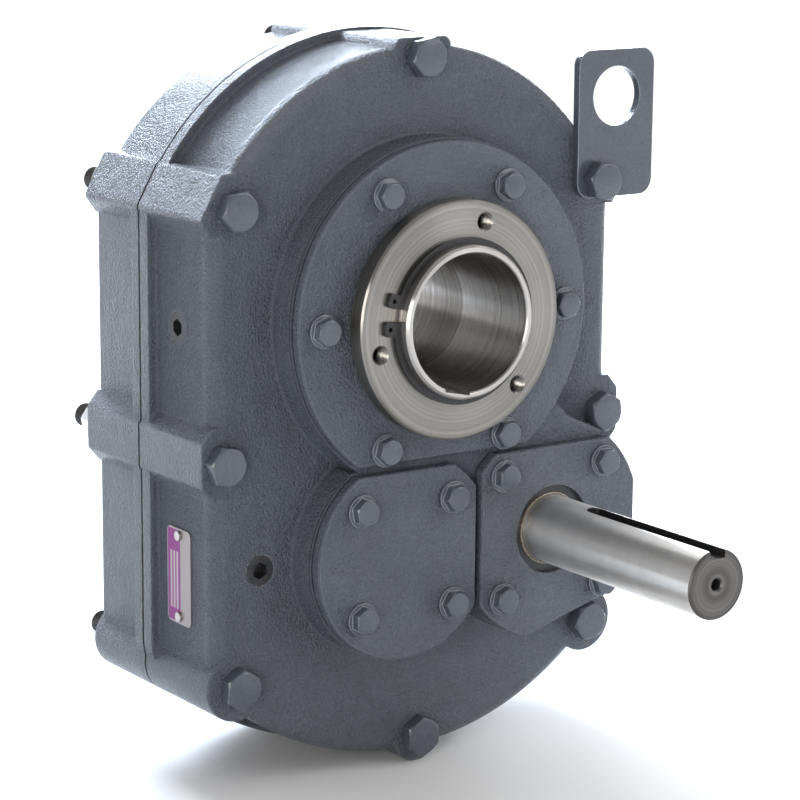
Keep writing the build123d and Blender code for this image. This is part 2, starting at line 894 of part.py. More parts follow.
def output_hub():
    """Hollow hub: straight in the middle and tapered at both ends, with a keyway all through."""
    journal_inner = cup_outer_face - output_bearing["width"]
    collar_rear = second_gear_rear + hub_collar_width
    stations = [(0, -hub_half_length)]
    stations += [
        (hub_end_radius - hub_end_chamfer, -hub_half_length),
        (hub_end_radius, -hub_half_length + hub_end_chamfer),
        (hub_end_radius, -plate_back),
        (hub_seal_radius, -plate_back),
        (hub_seal_radius, -cup_outer_face),
        (hub_journal_radius, -cup_outer_face),
        (hub_journal_radius, -journal_inner),
        (hub_body_radius, -journal_inner),
        (hub_body_radius, second_gear_rear),
        (hub_collar_radius, second_gear_rear),
        (hub_collar_radius, collar_rear),
        (hub_body_radius, collar_rear),
        (hub_body_radius, journal_inner),
        (hub_journal_radius, journal_inner),
        (hub_journal_radius, cup_outer_face),
        (hub_seal_radius, cup_outer_face),
        (hub_seal_radius, plate_back),
        (hub_end_radius, plate_back),
        (hub_end_radius, hub_half_length - hub_end_chamfer),
        (hub_end_radius - hub_end_chamfer, hub_half_length),
        (0, hub_half_length),
    ]
    body = turned(stations)
    straight_half = hub_half_length - hub_taper_length
    bore = [
        (0, -hub_half_length - 1),
        (hub_mouth_radius, -hub_half_length - 1),
        (hub_mouth_radius, -hub_half_length),
        (hub_straight_radius, -straight_half),
        (hub_straight_radius, straight_half),
        (hub_mouth_radius, hub_half_length),
        (hub_mouth_radius, hub_half_length + 1),
        (0, hub_half_length + 1),
    ]
    body = body - turned(bore)
    for face in (-backup_plate_face - ring_thickness, backup_plate_face):
        groove = rod(hub_end_radius + 1, face, face + ring_thickness)
        body = body - (groove - rod(ring_groove_radius, face - 1, face + ring_thickness + 1))
    keyway = key_slot(
        hub_keyway_width,
        0,
        hub_keyway_floor,
        -hub_half_length - 1,
        hub_half_length + 1,
        output_axis,
        hub_keyway_angle,
    )
    seat = key_slot(
        output_key_width + 2 * snug,
        output_key_floor - snug,
        output_key_roof,
        second_gear_front + key_margin - snug,
        second_gear_rear - key_margin + snug,
        output_axis,
        90,
    )
    return body - keyway - seat


def output_spacer():
    """Ring between the front bearing cone and the output gear."""
    near = -(cup_outer_face - output_bearing["width"])
    return rod(hub_body_radius + counter_spacer_wall, near, second_gear_front) - rod(
        hub_body_radius + snug, near - 1, second_gear_front + 1
    )


def backup_plate():
    """Front backup plate with three puller holes and a chamfered rim."""
    stations = [
        (hub_end_radius + snug, -backup_plate_face),
        (backup_plate_radius - backup_plate_chamfer, -backup_plate_face),
        (backup_plate_radius, -backup_plate_face + backup_plate_chamfer),
        (backup_plate_radius, -plate_back),
        (hub_end_radius + snug, -plate_back),
    ]
    plate = turned(stations)
    for place in around(puller_hole_circle, puller_hole_count, puller_hole_angle):
        plate = plate - rod(puller_hole_radius, -backup_plate_face - 1, -plate_back + 1, place)
    return plate


def retaining_ring():
    """Open snap ring in the hub's groove, with two eared ends."""
    ring = Circle(ring_outer_radius) - Circle(ring_groove_radius + snug)
    ears = []
    for side in (-1, 1):
        angle = ring_gap_centre + side * ring_gap_angle
        reach = ring_lug_reach - ring_outer_radius + 2
        ear = Pos(ring_lug_reach - reach / 2, 0) * RectangleRounded(reach, ring_lug_width, 2.0)
        eye = RegularPolygon(radius=ring_lug_hole, side_count=shank_sides)
        hole = Pos(ring_lug_reach - ring_lug_width / 2 + 0.6, 0) * eye
        ears.append(Rot(0, 0, angle) * (ear - hole))
    ring = union([ring] + ears)
    gap = Rot(0, 0, ring_gap_centre) * Pos(ring_outer_radius, 0) * Rectangle(
        2 * ring_lug_width + 4, 2 * ring_outer_radius * math.sin(math.radians(ring_gap_angle / 2))
    )
    front = -backup_plate_face - ring_thickness
    return bar(ring - gap, front + snug, -backup_plate_face - snug)


# Countershaft

def countershaft():
    """Shaft with its pinion cut in one piece and a seat for the first gear."""
    journal = counter_bearing["bore"]
    journal_inner = cup_outer_face - counter_bearing["width"]
    pinion_front = second_gear_front - second_pinion_extra
    pinion_rear = second_gear_rear + second_pinion_extra
    collar_front = first_gear_front - counter_collar_width
    stations = [
        (0, -cup_outer_face),
        (journal - shaft_chamfer, -cup_outer_face),
        (journal, -cup_outer_face + shaft_chamfer),
        (journal, -journal_inner),
        (counter_neck_radius, -journal_inner),
        (counter_neck_radius, collar_front),
        (counter_collar_radius, collar_front),
        (counter_collar_radius, first_gear_front),
        (counter_seat_radius, first_gear_front),
        (counter_seat_radius, journal_inner),
        (journal, journal_inner),
        (journal, cup_outer_face - shaft_chamfer),
        (journal - shaft_chamfer, cup_outer_face),
        (0, cup_outer_face),
    ]
    shaft = turned(stations, countershaft_axis)
    outline = gear_outline(second_module, second_pinion_teeth, second_shift, second_mesh + 180)
    teeth = bar(Pos(*countershaft_axis) * outline, pinion_front, pinion_rear)
    seat = key_slot(
        counter_key_width + 2 * snug,
        counter_key_floor - snug,
        counter_key_roof,
        first_gear_front + key_margin - snug,
        first_gear_rear - key_margin + snug,
        countershaft_axis,
        first_mesh + 90,
    )
    return shaft + teeth - seat


def countershaft_gear():
    """First stage gear with a tooth towards the input pinion."""
    gear = webbed_gear(
        first_module,
        first_gear_teeth,
        0.0,
        first_mesh,
        first_gear_front,
        first_gear_rear,
        counter_seat_radius,
        first_web,
        countershaft_axis,
    )
    slot = key_slot(
        counter_key_width + 2 * snug,
        counter_key_floor,
        counter_key_roof + key_roof_gap,
        first_gear_front - 1,
        first_gear_rear + 1,
        countershaft_axis,
        first_mesh + 90,
    )
    return gear - slot


def countershaft_gear_key():
    """Parallel key between the countershaft and its gear."""
    return key_slot(
        counter_key_width,
        counter_key_floor,
        counter_key_roof,
        first_gear_front + key_margin,
        first_gear_rear - key_margin,
        countershaft_axis,
        first_mesh + 90,
    )


def countershaft_spacer():
    """Sleeve between the first gear and the rear bearing cone."""
    far = cup_outer_face - counter_bearing["width"]
    outer = counter_seat_radius + counter_spacer_wall
    return rod(outer, first_gear_rear, far, countershaft_axis) - rod(
        counter_seat_radius + snug, first_gear_rear - 1, far + 1, countershaft_axis
    )


# Input shaft

def input_shaft():
    """Input shaft with its pinion cut in one piece and an open keyway at the driven end."""
    journal = input_bearing["bore"]
    journal_inner = cup_outer_face - input_bearing["width"]
    pinion_front = first_gear_front - first_pinion_extra
    pinion_rear = first_gear_rear + first_pinion_extra
    neck_front = pinion_front - input_neck_width
    neck_rear = pinion_rear + input_neck_width
    stations = [
        (0, -input_shaft_end),
        (input_shaft_radius - shaft_chamfer, -input_shaft_end),
        (input_shaft_radius, -input_shaft_end + shaft_chamfer),
        (input_shaft_radius, -input_journal_end),
        (input_journal_radius, -input_journal_end),
        (input_journal_radius, -cup_outer_face),
        (journal, -cup_outer_face),
        (journal, -journal_inner),
        (input_body_radius, -journal_inner),
        (input_body_radius, neck_front),
        (input_neck_radius, neck_front),
        (input_neck_radius, neck_rear),
        (input_body_radius, neck_rear),
        (input_body_radius, journal_inner),
        (journal, journal_inner),
        (journal, cup_outer_face - shaft_chamfer),
        (journal - shaft_chamfer, cup_outer_face),
        (0, cup_outer_face),
    ]
    shaft = turned(stations, input_axis, input_seam_angle)
    space_angle = first_mesh + 180 + 180.0 / first_pinion_teeth
    outline = gear_outline(first_module, first_pinion_teeth, 0.0, space_angle)
    shaft = shaft + bar(Pos(*input_axis) * outline, pinion_front, pinion_rear)
    floor = input_shaft_radius - input_keyway_depth
    round_end = -input_keyway_start - input_keyway_width / 2
    slot = Plane.XY.offset(input_z + floor) * (
        Pos(input_x, (round_end - input_shaft_end - 1) / 2)
        * Rectangle(input_keyway_width, input_shaft_end + 1 + round_end)
        + Pos(input_x, round_end) * Circle(input_keyway_width / 2)
    )
    return shaft - extrude(slot, amount=input_shaft_radius)


def build_parts():
    """Every node by name."""
    parts = {
        "front_housing": front_housing(),
        "rear_housing": rear_housing(),
        "dowel_pins": dowel_group(),
        "case_bolts": case_bolt_group(),
        "case_nuts": case_nut_group(),
        "lifting_plate": lifting_plate(),
        "pipe_plugs": plug_group(),
        "nameplate": nameplate(),
        "nameplate_rivets": rivet_group(),
    }
    carrier = seal_carrier()
    carrier_bolts = small_bolts(carrier_bolt_places, carrier_thickness)
    parts["front_seal_carrier"] = carrier
    parts["rear_seal_carrier"] = mirrored(carrier)
    parts["front_carrier_bolts"] = separate(carrier_bolts)
    parts["rear_carrier_bolts"] = separate([mirrored(bolt) for bolt in carrier_bolts])

    input_bolts = small_bolts(input_bolt_places, cover_thickness)
    counter_bolts = small_bolts(countershaft_bolt_places, cover_thickness)
    parts["countershaft_cover"] = countershaft_cover()
    parts["countershaft_cover_bolts"] = separate(counter_bolts)
    parts["input_cover"] = input_cover()
    parts["input_cover_bolts"] = separate(input_bolts)
    parts["backstop_cover"] = backstop_cover()
    parts["backstop_cover_bolts"] = separate([mirrored(bolt) for bolt in input_bolts])

    output_seal = seal(
        hub_seal_radius,
        output_seal_outer,
        output_seal_width,
        -carrier_face + output_seal_recess,
        output_axis,
    )
    parts["front_output_seal"] = output_seal
    parts["rear_output_seal"] = mirrored(output_seal)
    parts["input_seal"] = seal(
        input_journal_radius,
        input_seal_outer,
        input_seal_width,
        -cover_face + input_seal_recess,
        input_axis,
    )

    plate = backup_plate()
    ring = retaining_ring()
    parts["output_hub"] = output_hub()
    parts["output_gear"] = output_gear()
    parts["output_gear_key"] = output_gear_key()
    parts["output_spacer"] = output_spacer()
    parts["front_backup_plate"] = plate
    parts["rear_backup_plate"] = mirrored(plate)
    parts["front_retaining_ring"] = ring
    parts["rear_retaining_ring"] = mirrored(ring)
    parts["countershaft"] = countershaft()
    parts["countershaft_gear"] = countershaft_gear()
    parts["countershaft_gear_key"] = countershaft_gear_key()
    parts["countershaft_spacer"] = countershaft_spacer()
    parts["input_shaft"] = input_shaft()

    names = ("output", "countershaft", "input")
    for name, (bearing, place) in zip(names, bearing_places()):
        cup = seated(bearing_cup(bearing), bearing, place)
        cone = seated(bearing_cone(bearing), bearing, place)
        rollers = [seated(roller, bearing, place) for roller in bearing_rollers(bearing)]
        parts[name + "_rear_bearing_cup"] = cup
        parts[name + "_front_bearing_cup"] = mirrored(cup)
        parts[name + "_rear_bearing_cone"] = cone
        parts[name + "_front_bearing_cone"] = mirrored(cone)
        both = rollers + [mirrored(roller) for roller in rollers]
        parts[name + "_bearing_rollers"] = separate(both)
    return parts


def main():
    """Write one file for each node."""
    os.makedirs("parts", exist_ok=True)
    for name, shape in build_parts().items():
        export_step(shape, os.path.join("parts", name + ".step"))


main()
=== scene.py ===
"""Looks of a shaft mounted speed reducer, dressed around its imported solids."""

import logging
import math
from dataclasses import dataclass, field
from enum import Enum
from typing import Callable, Sequence

import bpy
from mathutils import Matrix, Vector


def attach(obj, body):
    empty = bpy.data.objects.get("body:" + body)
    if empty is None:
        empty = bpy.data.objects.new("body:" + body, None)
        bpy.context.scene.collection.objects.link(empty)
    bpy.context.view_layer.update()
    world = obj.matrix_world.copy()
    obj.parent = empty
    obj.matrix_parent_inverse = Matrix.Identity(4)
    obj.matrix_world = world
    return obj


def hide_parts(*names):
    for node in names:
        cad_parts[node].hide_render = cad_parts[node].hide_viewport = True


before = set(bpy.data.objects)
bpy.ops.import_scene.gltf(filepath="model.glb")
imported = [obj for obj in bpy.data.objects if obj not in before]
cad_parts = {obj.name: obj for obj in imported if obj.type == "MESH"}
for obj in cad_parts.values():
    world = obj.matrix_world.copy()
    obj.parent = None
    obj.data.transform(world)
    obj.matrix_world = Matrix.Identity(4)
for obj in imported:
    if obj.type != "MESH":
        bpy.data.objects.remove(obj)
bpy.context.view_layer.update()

Place = tuple[float, float]
Station = tuple[float, float]
Point = tuple[float, float, float]
Colour = tuple[float, float, float]
Material = bpy.types.Material
Node = bpy.types.Node
Piece = bpy.types.Object
Socket = bpy.types.NodeSocket
log = logging.getLogger("reducer")

MM = 0.001
OUTPUT_AXIS: Place = (0.0, 0.0)
COUNTERSHAFT_AXIS: Place = (-24.0 * MM, -123.6932 * MM)
INPUT_AXIS: Place = (70.9848 * MM, -121.9932 * MM)
# Depths of the housing's front face, rear face and raised front face
FACE_Y = -62.0 * MM
REAR_Y = 54.5 * MM
LAND_Y = -79.0 * MM


class Body(Enum):
    """Rigid bodies that dressed pieces move with."""

    HOUSING = "housing"
    HUB = "output_hub_assembly"
    INPUT = "input_shaft_assembly"


class Side(Enum):
    """Front and rear of the reducer."""

    FRONT = "front"
    REAR = "rear"


class Crease(Enum):
    """Smallest angle between faces that stays a sharp edge, in degrees."""

    THREAD = 20.0
    TURNED = 24.0
    COVER = 30.0
    PLAIN = 32.0
    CAST = 34.0
    BOLT = 38.0
    LIP = 60.0


class Facets(Enum):
    """Faces round a turned piece."""

    HEXAGON = 6
    SHANK = 24
    THREAD = 32
    TAPPED = 40
    FASTENER = 48
    LIP = 96
    SHAFT = 128
    HUB = 160


class Shaping(Enum):
    """What a second piece does to the first."""

    CUT = "DIFFERENCE"
    TRIM = "INTERSECT"
    ADD = "UNION"


# Finishes


def rgba(colour: Colour) -> tuple[float, float, float, float]:
    """Colour with full opacity."""
    return (*colour, 1.0)


class NodeBook:
    """Adds and joins the shader nodes of one material, which reads object coordinates."""

    def __init__(self, name: str) -> None:
        """Start a material with a bare principled shader.

        Args:
            name: Name of the material.
        """
        self.material = bpy.data.materials.new(name)
        self.material.use_nodes = True
        self.tree = self.material.node_tree
        self.where: Socket = self.add("TexCoord").outputs["Object"]

    def add(self, kind: str, settings: dict[str, object] | None = None, **values: object) -> Node:
        """Add a node.

        Args:
            kind: Node type after the words ShaderNode.
            settings: Properties of the node.
            values: Inputs by name, with underscores for spaces.

        Returns:
            The new node.
        """
        node = self.tree.nodes.new("ShaderNode" + kind)
        for key, value in (settings or {}).items():
            setattr(node, key, value)
        for key, value in values.items():
            self.feed(node.inputs[key.replace("_", " ")], value)
        return node

    def feed(self, socket: Socket, value: object) -> None:
        """Join an input to a socket, or set its value.

        Args:
            socket: The input.
            value: A socket or a plain value.
        """
        if isinstance(value, Socket):
            self.tree.links.new(value, socket)
        else:
            socket.default_value = value

    def pair(self, kind: str, operation: str, first: object, second: object) -> Node:
        """Add a math or vector math node.

        Args:
            kind: Node type after the words ShaderNode.
            operation: Name of the operation.
            first: First operand, a socket or a value.
            second: Second operand, a socket or a value.

        Returns:
            The new node.
        """
        node = self.add(kind, {"operation": operation})
        self.feed(node.inputs[0], first)
        self.feed(node.inputs[1], second)
        return node

    def calc(self, operation: str, first: object, second: object = 0.0) -> Socket:
        """Result of a math operation on one or two numbers."""
        return self.pair("Math", operation, first, second).outputs[0]

    def gap(self, first: object, second: object) -> Socket:
        """How far two numbers are apart."""
        return self.calc("ABSOLUTE", self.calc("SUBTRACT", first, second))

    def parts(self, vector: Socket) -> tuple[Socket, ...]:
        """The three parts of a vector."""
        return tuple(self.add("SeparateXYZ", Vector=vector).outputs)

    def spread(self, value: Socket, low: float, high: float, start: float, end: float) -> Socket:
        """Map a value from low and high to start and end, clamped."""
        ends = {"From_Min": low, "From_Max": high, "To_Min": start, "To_Max": end}
        return self.add("MapRange", Value=value, **ends).outputs[0]

    def blend(self, share: object, first: object, second: object) -> Socket:
        """Mix two colours.

        Args:
            share: Share of the second colour, a socket or a number.
            first: First colour, a socket or a value.
            second: Second colour, a socket or a value.

        Returns:
            The mixed colour's socket.
        """
        node = self.add("Mix", {"data_type": "RGBA"})
        for index, value in ((0, share), (6, first), (7, second)):
            self.feed(node.inputs[index], value)
        return node.outputs[2]

    def noise(self, vector: object, scale: float, detail: float, rough: float) -> Socket:
        """Noise value at a scale, per metre."""
        return self.add("TexNoise", Vector=vector, Scale=scale, Detail=detail, Roughness=rough).outputs[0]

    def rounded(self, radius: float, samples: int) -> Socket:
        """Normal that turns round the edges within a radius."""
        return self.add("Bevel", {"samples": samples}, Radius=radius).outputs[0]

    def relief(self, height: object, distance: float, strength: float, **base: Socket) -> Socket:
        """Normal bumped by a height, over the face's own normal or over one given as Normal."""
        return self.add("Bump", Height=height, Distance=distance, Strength=strength, **base).outputs[0]

    def finish(self, **values: object) -> Material:
        """Set the principled shader's inputs and hand over the material.

        Args:
            values: Inputs by name, with underscores for spaces.

        Returns:
            The material.
        """
        shader = self.tree.nodes["Principled BSDF"]
        for key, value in values.items():
            self.feed(shader.inputs[key.replace("_", " ")], value)
        return self.material


@dataclass(frozen=True)
class Enamel:
    """Grey-blue enamel over cast iron or steel.

    The cast skin shows as a coarse orange peel, the edges carry a painted highlight, and the joints
    between castings are dark lines. The seams are the joints' distances from the split.
    """

    name: str
    colour: Colour = (0.071, 0.082, 0.102)
    # Colour of the painted highlight on the edges
    highlight_colour: Colour = (0.2, 0.22, 0.26)
    joint_colour: Colour = (0.004, 0.005, 0.006)
    grain: float = 1.4 * MM
    depth: float = 2.1 * MM
    fine_scale: float = 3.1
    fine_share: float = 0.4
    swell_scale: float = 0.07
    swell_share: float = 1.6
    edge: float = 3.4 * MM
    edge_start: float = 0.985
    edge_end: float = 0.85
    roughness: float = 0.22
    # Strength of the painted edge highlight
    edge_highlight: float = 0.35
    seams: tuple[float, ...] = (0.0, -LAND_Y)
    seam_half: float = 0.9 * MM
    seam_drop: float = 1.2 * MM

    def joint(self, book: NodeBook) -> Socket:
        """Share of a dark joint line, on faces that look sideways.

        Args:
            book: The material's nodes.

        Returns:
            The share's socket.
        """
        depth = book.calc("ABSOLUTE", book.parts(book.where)[1])
        share: object = 0.0
        for seam in self.seams:
            line = book.spread(book.gap(depth, seam), self.seam_half * 0.5, self.seam_half, 1.0, 0.0)
            share = book.calc("MAXIMUM", share, line)
        facing = book.parts(book.add("NewGeometry").outputs["True Normal"])[1]
        sideways = book.spread(book.calc("ABSOLUTE", facing), 0.3, 0.6, 1.0, 0.0)
        return book.calc("MULTIPLY", share, sideways)

    def material(self) -> Material:
        """Make the enamel.

        Returns:
            The material.
        """
        book = NodeBook(self.name)
        rounded = book.rounded(self.edge, 6)
        plain = book.add("NewGeometry").outputs["Normal"]
        turn = book.pair("VectorMath", "DOT_PRODUCT", rounded, plain).outputs["Value"]
        rim = book.spread(turn, self.edge_start, self.edge_end, 0.0, 1.0)
        peel = book.noise(book.where, 1.0 / self.grain, 2.0, 0.5)
        fine = book.noise(book.where, self.fine_scale / self.grain, 2.0, 0.5)
        swell = book.noise(book.where, self.swell_scale / self.grain, 2.0, 0.5)
        height = book.calc("ADD", peel, book.calc("MULTIPLY", fine, self.fine_share))
        height = book.calc("ADD", height, book.calc("MULTIPLY", swell, self.swell_share))
        joint = self.joint(book)
        groove = book.calc("MULTIPLY", joint, self.seam_drop / self.depth)
        height = book.calc("SUBTRACT", height, groove)
        normal = book.relief(height, self.depth, 1.0, Normal=rounded)
        # The peel's low spots are darkened, painted shade in the pits of the cast skin; the swell adds
        # random tone
        pit_shade = book.spread(peel, 0.3, 0.5, 0.82, 1.0)
        tone_and_pit_shade = book.calc("MULTIPLY", pit_shade, book.spread(swell, 0.3, 0.7, 0.93, 1.07))
        shade = book.add("VectorMath", {"operation": "SCALE"}, Vector=self.colour, Scale=tone_and_pit_shade)
        # The rounded edges are blended towards a lighter colour: a painted highlight
        share = book.calc("MULTIPLY", rim, self.edge_highlight)
        colour = book.blend(share, shade.outputs[0], rgba(self.highlight_colour))
        colour = book.blend(joint, colour, rgba(self.joint_colour))
        rough = book.spread(fine, 0.3, 0.7, self.roughness - 0.06, self.roughness + 0.08)
        rough = book.calc("MAXIMUM", rough, joint)
        return book.finish(Base_Color=colour, Roughness=rough, Normal=normal, IOR=1.52)


@dataclass(frozen=True)
class Machined:
    """Bare steel turned or faced about an axis along the depth.

    Its fine grooves run round the axis, so reflections stretch across them.
    """

    name: str
    axis: Place = OUTPUT_AXIS
    colour: Colour = (0.24, 0.23, 0.214)
    streak_colour: Colour = (0.17, 0.163, 0.15)
    pitch: float = 0.3 * MM
    depth: float = 0.01 * MM
    roughness: float = 0.3
    unevenness: float = 0.06
    stretch: float = 0.85
    edge: float = 0.35 * MM

    def material(self) -> Material:
        """Make the steel, with rings round the axis.

        Returns:
            The material.
        """
        book = NodeBook(self.name)
        x, y, z = book.parts(book.where)
        across = book.calc("SUBTRACT", x, self.axis[0])
        height = book.calc("SUBTRACT", z, self.axis[1])
        square = book.calc("ADD", book.calc("POWER", across, 2.0), book.calc("POWER", height, 2.0))
        radius = book.calc("SQRT", square)
        rings = [book.calc("DIVIDE", way, self.pitch) for way in (radius, y)]
        ring = book.add("CombineXYZ", X=rings[0], Y=rings[1]).outputs[0]
        streak = book.noise(ring, 1.0, 3.0, 0.65)
        broad = book.noise(ring, 0.2, 2.0, 0.5)
        normal = book.relief(streak, self.depth, 1.0, Normal=book.rounded(self.edge, 4))
        groove = book.add("CombineXYZ", X=height, Z=book.calc("MULTIPLY", across, -1.0)).outputs[0]
        plain = book.add("NewGeometry").outputs["Normal"]
        cross = book.pair("VectorMath", "CROSS_PRODUCT", plain, groove).outputs[0]
        tangent = book.add("VectorMath", {"operation": "NORMALIZE"}, Vector=cross).outputs[0]
        share = book.spread(broad, 0.35, 0.65, 0.0, 1.0)
        rough = [self.roughness - self.unevenness, self.roughness + self.unevenness]
        return book.finish(
            Base_Color=book.blend(share, rgba(self.colour), rgba(self.streak_colour)),
            Metallic=1.0,
            Roughness=book.spread(streak, 0.25, 0.75, *rough),
            Normal=normal,
            Anisotropic=self.stretch,
            Tangent=tangent,
        )


@dataclass(frozen=True)
class Dark:
    """Blackened steel, grease or rubber with a little mottling."""

    name: str
    colour: Colour = (0.018, 0.018, 0.019)
    pale: Colour = (0.05, 0.05, 0.052)
    roughness: float = 0.42
    metallic: float = 0.0
    grain: float = 1.2 * MM

    def material(self) -> Material:
        """Make the mottled surface.

        Returns:
            The material.
        """
        book = NodeBook(self.name)
        mottle = book.noise(book.where, 1.0 / self.grain, 3.0, 0.6)
        share = book.spread(mottle, 0.35, 0.7, 0.0, 1.0)
        return book.finish(
            Base_Color=book.blend(share, rgba(self.colour), rgba(self.pale)),
            Metallic=self.metallic,
            Roughness=book.spread(mottle, 0.3, 0.7, self.roughness - 0.08, self.roughness + 0.12),
            Normal=book.relief(mottle, 0.03 * MM, 0.6),
        )


@dataclass(frozen=True)
class Plated:
    """Zinc plated steel with fine scratches and a faint cloud of colour."""

    name: str
    colour: Colour = (0.72, 0.72, 0.7)
    cloud: Colour = (0.6, 0.58, 0.5)
    cloud_scale: float = 160.0
    scratch_scale: float = 2600.0
    roughness: float = 0.3

    def material(self) -> Material:
        """Make the plating.

        Returns:
            The material.
        """
        book = NodeBook(self.name)
        cloud = book.noise(book.where, self.cloud_scale, 2.0, 0.5)
        scratch = book.noise(book.where, self.scratch_scale, 3.0, 0.7)
        share = book.spread(cloud, 0.4, 0.65, 0.0, 0.8)
        return book.finish(
            Base_Color=book.blend(share, rgba(self.colour), rgba(self.cloud)),
            Metallic=1.0,
            Roughness=book.spread(scratch, 0.3, 0.7, self.roughness - 0.05, self.roughness + 0.15),
            Normal=book.relief(scratch, 0.01 * MM, 0.7),
        )


@dataclass(frozen=True)
class PlatePrint:
    """Blank printed plate: a violet field with pale rows, beside a bare metal strip.

    Places on the plate are shares of its width and height, from its middle.
    """

    name: str
    centre: Place = (-29.8 * MM, -131.0 * MM)
    width: float = 23.0 * MM
    height: float = 50.5 * MM
    violet: Colour = (0.17, 0.014, 0.15)
    pale: Colour = (0.33, 0.27, 0.29)
    metal: Colour = (0.27, 0.245, 0.235)
    field_start: float = -0.06
    field_end: float = 0.46
    side_line: float = 0.465
    end_line: float = 0.478
    row_count: int = 3
    row_share: float = 0.3
    row_half: float = 0.3
    row_drop: float = 0.05

    def material(self) -> Material:
        """Make the print from bands across and up the plate.

        Returns:
            The material.
        """
        book = NodeBook(self.name)
        _, y, z = book.parts(book.where)
        across = book.calc("DIVIDE", book.calc("SUBTRACT", y, self.centre[0]), self.width)
        up = book.calc("DIVIDE", book.calc("SUBTRACT", z, self.centre[1]), self.height)
        spacing = (self.field_end - self.field_start) / (self.row_count + 1)
        marks: object = 0.0
        for row in range(1, self.row_count + 1):
            off = book.gap(across, self.field_start + row * spacing)
            marks = book.calc("MAXIMUM", marks, book.calc("LESS_THAN", off, self.row_share * spacing))
        inside = book.calc("LESS_THAN", book.gap(up, -self.row_drop), self.row_half)
        marks = book.calc("MULTIPLY", marks, inside)
        bare = book.calc("LESS_THAN", across, self.field_start)
        for way, line in ((book.calc("ABSOLUTE", up), self.end_line), (across, self.side_line)):
            bare = book.calc("MAXIMUM", bare, book.calc("GREATER_THAN", way, line))
        print_colour = book.blend(marks, rgba(self.violet), rgba(self.pale))
        brush = book.add("Mapping", Vector=book.where, Scale=(1.0, 1.0, 0.02)).outputs[0]
        streak = book.noise(brush, 5000.0, 2.0, 0.6)
        return book.finish(
            Base_Color=book.blend(bare, print_colour, rgba(self.metal)),
            Metallic=book.spread(bare, 0.0, 1.0, 0.35, 0.9),
            Roughness=book.spread(streak, 0.3, 0.7, 0.34, 0.5),
            Normal=book.relief(streak, 0.006 * MM, 0.8),
        )


@dataclass(frozen=True)
class FloorPaint:
    """Plain pale studio floor, with a little light of its own away from the object."""

    name: str = "studio_floor"
    colour: Colour = (0.82, 0.82, 0.82)
    near: float = 0.4
    far: float = 1.7
    far_glow: float = 0.68

    def material(self) -> Material:
        """Make the floor's paint.

        Returns:
            The material.
        """
        book = NodeBook(self.name)
        length = book.add("VectorMath", {"operation": "LENGTH"}, Vector=book.where).outputs["Value"]
        return book.finish(
            Base_Color=rgba(self.colour),
            Roughness=0.75,
            Specular_IOR_Level=0.2,
            Emission_Color=rgba((1.0, 1.0, 1.0)),
            Emission_Strength=book.spread(length, self.near, self.far, 0.0, self.far_glow),
        )


class Palette:
    """All the finishes of the reducer, each made once."""

    def __init__(self) -> None:
        """Make every material."""
        self.cast = Enamel("cast_enamel").material()
        # The covers and bolts get stronger painted edge highlights
        self.cover = Enamel(
            "cover_enamel", depth=1.8 * MM, edge=1.2 * MM, roughness=0.21, edge_highlight=0.6
        ).material()
        self.bolt = Enamel(
            "bolt_enamel",
            colour=(0.06, 0.07, 0.086),
            highlight_colour=(0.3, 0.33, 0.37),
            grain=1.5 * MM,
            depth=0.12 * MM,
            edge=0.9 * MM,
            roughness=0.15,
            edge_highlight=1.0,
            seams=(),
        ).material()
        self.plate_steel = Machined("faced_plate").material()
        self.hub_steel = Machined(
            "turned_hub", colour=(0.45, 0.43, 0.41), streak_colour=(0.36, 0.345, 0.33), roughness=0.28
        ).material()
        # The bore's steel is darker than the hub's outside
        self.bore_steel = Machined(
            "dark_turned_bore", colour=(0.3, 0.28, 0.26), streak_colour=(0.2, 0.185, 0.17), pitch=0.6 * MM
        ).material()
        self.shaft_steel = Machined(
            "ground_shaft",
            axis=INPUT_AXIS,
            colour=(0.93, 0.92, 0.9),
            streak_colour=(0.88, 0.87, 0.85),
            pitch=1.6 * MM,
            depth=0.002 * MM,
            roughness=0.33,
            unevenness=0.02,
            edge=0.0,
        ).material()
        self.end_steel = Machined(
            "faced_end",
            axis=INPUT_AXIS,
            colour=(0.15, 0.142, 0.135),
            streak_colour=(0.09, 0.085, 0.08),
            pitch=0.5 * MM,
            depth=0.05 * MM,
            roughness=0.5,
            stretch=0.4,
        ).material()
        self.grease = Dark(
            "seal_grease", colour=(0.12, 0.09, 0.06), pale=(0.4, 0.36, 0.3), roughness=0.3, metallic=0.3
        ).material()
        self.inner_steel = Machined("bearing_steel").material()
        self.black = Dark("black_oxide", roughness=0.36, metallic=0.6).material()
        self.rubber = Dark(
            "seal_rubber", colour=(0.006, 0.006, 0.007), pale=(0.018, 0.018, 0.02), roughness=0.4
        ).material()
        self.tapped = Dark(
            "tapped_hole", colour=(0.1, 0.096, 0.09), pale=(0.32, 0.31, 0.29), roughness=0.3, metallic=0.9
        ).material()
        self.thread = Dark(
            "dark_thread", colour=(0.03, 0.03, 0.03), pale=(0.09, 0.09, 0.09), metallic=0.8
        ).material()
        self.zinc = Plated("zinc_plate").material()
        self.print = PlatePrint("plate_print").material()
        self.floor = FloorPaint().material()


# Modelling steps that the sub-assemblies share


def clear() -> None:
    """Leave edit mode and deselect everything."""
    if bpy.context.object and bpy.context.object.mode != "OBJECT":
        bpy.ops.object.mode_set(mode="OBJECT")
    bpy.ops.object.select_all(action="DESELECT")


def pick(piece: Piece) -> None:
    """Make a piece the only selected and active one.

    Args:
        piece: The piece.
    """
    clear()
    piece.select_set(True)
    bpy.context.view_layer.objects.active = piece


def open_mesh() -> None:
    """Enter edit mode with all of the active piece selected."""
    bpy.ops.object.mode_set(mode="EDIT")
    bpy.ops.mesh.select_all(action="SELECT")


